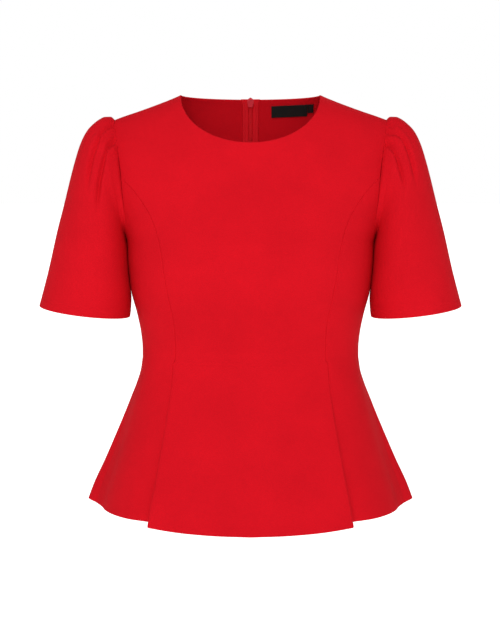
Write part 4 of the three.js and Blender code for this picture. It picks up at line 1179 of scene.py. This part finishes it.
class BLOUSE_OT_zip_slider(PieceOperator, Operator):
    """Makes the zip's slider, with a fin out through the back's edges and an eye for the pull"""

    bl_idname = "blouse.zip_slider"
    bl_label = "Zip slider"

    def execute(self, context):
        sizes = context.scene.blouse_zip
        body = block((0, 0.8, -SLIDER_DEEP), (9.8, 12.8, 3.4))
        edit(body, lambda at, normal: True)
        bpy.ops.mesh.bisect(plane_co=(0, 3.6 * MM, 0), plane_no=(0, 1, 0))
        bpy.ops.object.mode_set(mode="OBJECT")
        for way, share in ((-1, 0.68), (1, 0.5)):
            edit(body, lambda at, normal: normal.y * way > 0.9)
            bpy.ops.transform.resize(value=(share, 1, 1), center_override=(0, 0, -SLIDER_DEEP * MM))
            bpy.ops.object.mode_set(mode="OBJECT")
        round_edges(body, 0.6, 3)
        edit(body, lambda at, normal: normal.z < -0.95 and abs(at.x) < 3)
        bpy.ops.mesh.inset(thickness=0.9 * MM)
        bpy.ops.transform.translate(value=(0, 0, 0.35 * MM))
        bpy.ops.object.mode_set(mode="OBJECT")
        nub = rod((0, 7.2, -5.6), 1.6, 2.6, "z", 0.5)
        fin = block((0, 0, -1.2), (1.4, 7.5, 6.2), 0.35)
        bpy.ops.object.select_all(action="DESELECT")
        bpy.ops.mesh.primitive_torus_add(
            major_radius=1.68 * MM, minor_radius=0.5 * MM, major_segments=32, minor_segments=12,
            location=(0, -1.55 * MM, 3.2 * MM), rotation=(0, math.pi / 2, 0),
        )
        bpy.ops.object.transform_apply(location=True, rotation=True, scale=True)
        eye = bpy.context.object
        facing = back_normal(0.0, float(SLIDER_Z))
        out = Vector((0, facing[1], facing[2])).normalized()
        placed = placing((-1, 0, 0), (0, -out.z, out.y), out, torso_at(BACK, 0.0, float(SLIDER_Z)))
        piece = join("slider", [body, nub, fin, eye], placed)
        finish_piece(piece, self.metal(sizes), "zip_metal", "zip_slider")
        return {"FINISHED"}


class BLOUSE_OT_zip_pull(PieceOperator, Operator):
    """Makes the pull that hangs from the slider's eye, outside the back"""

    bl_idname = "blouse.zip_pull"
    bl_label = "Zip pull"

    def execute(self, context):
        sizes = context.scene.blouse_zip
        tab = block((0, -13.2, 0), (6.4, 19.2, PULL_THICK))
        edit(tab, lambda at, normal: normal.y < -0.9)
        bpy.ops.transform.resize(value=(0.72, 1, 1), center_override=(0, -22.8 * MM, 0))
        bpy.ops.object.mode_set(mode="OBJECT")
        edit(tab, lambda at, normal: abs(normal.z) > 0.9)
        bpy.ops.mesh.inset(thickness=1.2 * MM, use_individual=True)
        bpy.ops.transform.resize(value=(1, 1, 0.55), center_override=(0, 0, 0))
        bpy.ops.object.mode_set(mode="OBJECT")
        round_edges(tab, 0.3, 2)
        foot = rod((0, -22.7, 0), 2.3, PULL_THICK, "z", 0.3, 32)
        arms = [block((side * 2.3, -1.6, 0), (1.5, 4.4, PULL_THICK), 0.3) for side in (-1, 1)]
        bar = rod((0, 0, 0), 0.7, 4.6, "x", 0.1)
        lean = math.radians(PULL_LEAN)
        rising, out = (0, -math.sin(lean), math.cos(lean)), (0, math.cos(lean), math.sin(lean))
        piece = join("pull_tab", [tab, foot, *arms, bar], placing((-1, 0, 0), rising, out, PULL_EYE))
        finish_piece(piece, self.metal(sizes), "zip_metal", "zip_pull", body="pull")
        return {"FINISHED"}


class BLOUSE_OT_labels(PieceOperator, Operator):
    """Makes the two bare woven labels inside the back neck"""

    bl_idname = "blouse.labels"
    bl_label = "Labels"

    def execute(self, context):
        cloth, sizes = context.scene.blouse_cloth, context.scene.blouse_zip
        material = weave("black woven label", tuple(sizes.label_black), 0.0004, 0.6)
        for name, (start, end, top_start, top_end, tall) in LABELS.items():
            turned = np.array([0.1, 0.4, 1.0, 2.5])
            wide = end - start
            middle = np.linspace(4, wide - 4, 3 + round(wide / 3))
            xs = np.concatenate([[0], turned, middle, wide - turned[::-1], [wide]])
            downs = np.concatenate([[tall], tall - turned, np.linspace(tall - 4, 4, 5), turned[::-1], [0]])
            across, down = np.meshgrid(xs, downs)
            x = start + across
            z = mix(top_start, top_end, across / wide) - down
            facing = back_normal(x, z)
            points = torso_at(BACK, x, z) - facing * (cloth.thickness + 0.85)
            inside = points * np.array([1, 0, 1])
            piece = build_sheet(name + "_cloth", points, inside, turned_in(), cloth, thick=sizes.label)
            finish_piece(piece, material, "label", name)
            state_cut(points)
        return {"FINISHED"}


class BLOUSE_PT_pieces(Panel):
    """Lists the blouse's pieces"""

    bl_idname = "BLOUSE_PT_pieces"
    bl_label = "Peplum blouse"
    bl_space_type = "VIEW_3D"
    bl_region_type = "UI"
    bl_category = "Blouse"

    def draw(self, context):
        layout = self.layout
        for group in SETTINGS:
            settings = getattr(context.scene, group)
            for name in settings.__annotations__:
                layout.prop(settings, name)
        for operator in PIECES:
            layout.operator(operator.bl_idname)


SETTINGS = {"blouse_cloth": BlouseCloth, "blouse_zip": BlouseZip, "blouse_stage": BlouseStage}
PIECES = (
    BLOUSE_OT_stage,
    BLOUSE_OT_front_centre,
    BLOUSE_OT_back_centre,
    BLOUSE_OT_side_panels,
    BLOUSE_OT_sleeves,
    BLOUSE_OT_zip_tapes,
    BLOUSE_OT_zip_teeth,
    BLOUSE_OT_zip_slider,
    BLOUSE_OT_zip_pull,
    BLOUSE_OT_labels,
)


def register():
    for name, group in SETTINGS.items():
        bpy.utils.register_class(group)
        setattr(bpy.types.Scene, name, PointerProperty(type=group))
    for operator in PIECES:
        bpy.utils.register_class(operator)
    bpy.utils.register_class(BLOUSE_PT_pieces)


def unregister():
    bpy.utils.unregister_class(BLOUSE_PT_pieces)
    for operator in reversed(PIECES):
        bpy.utils.unregister_class(operator)
    for name, group in SETTINGS.items():
        delattr(bpy.types.Scene, name)
        bpy.utils.unregister_class(group)


def main():
    register()
    for operator in PIECES:
        group, name = operator.bl_idname.split(".")
        getattr(getattr(bpy.ops, group), name)()


if __name__ == "__main__":
    main()
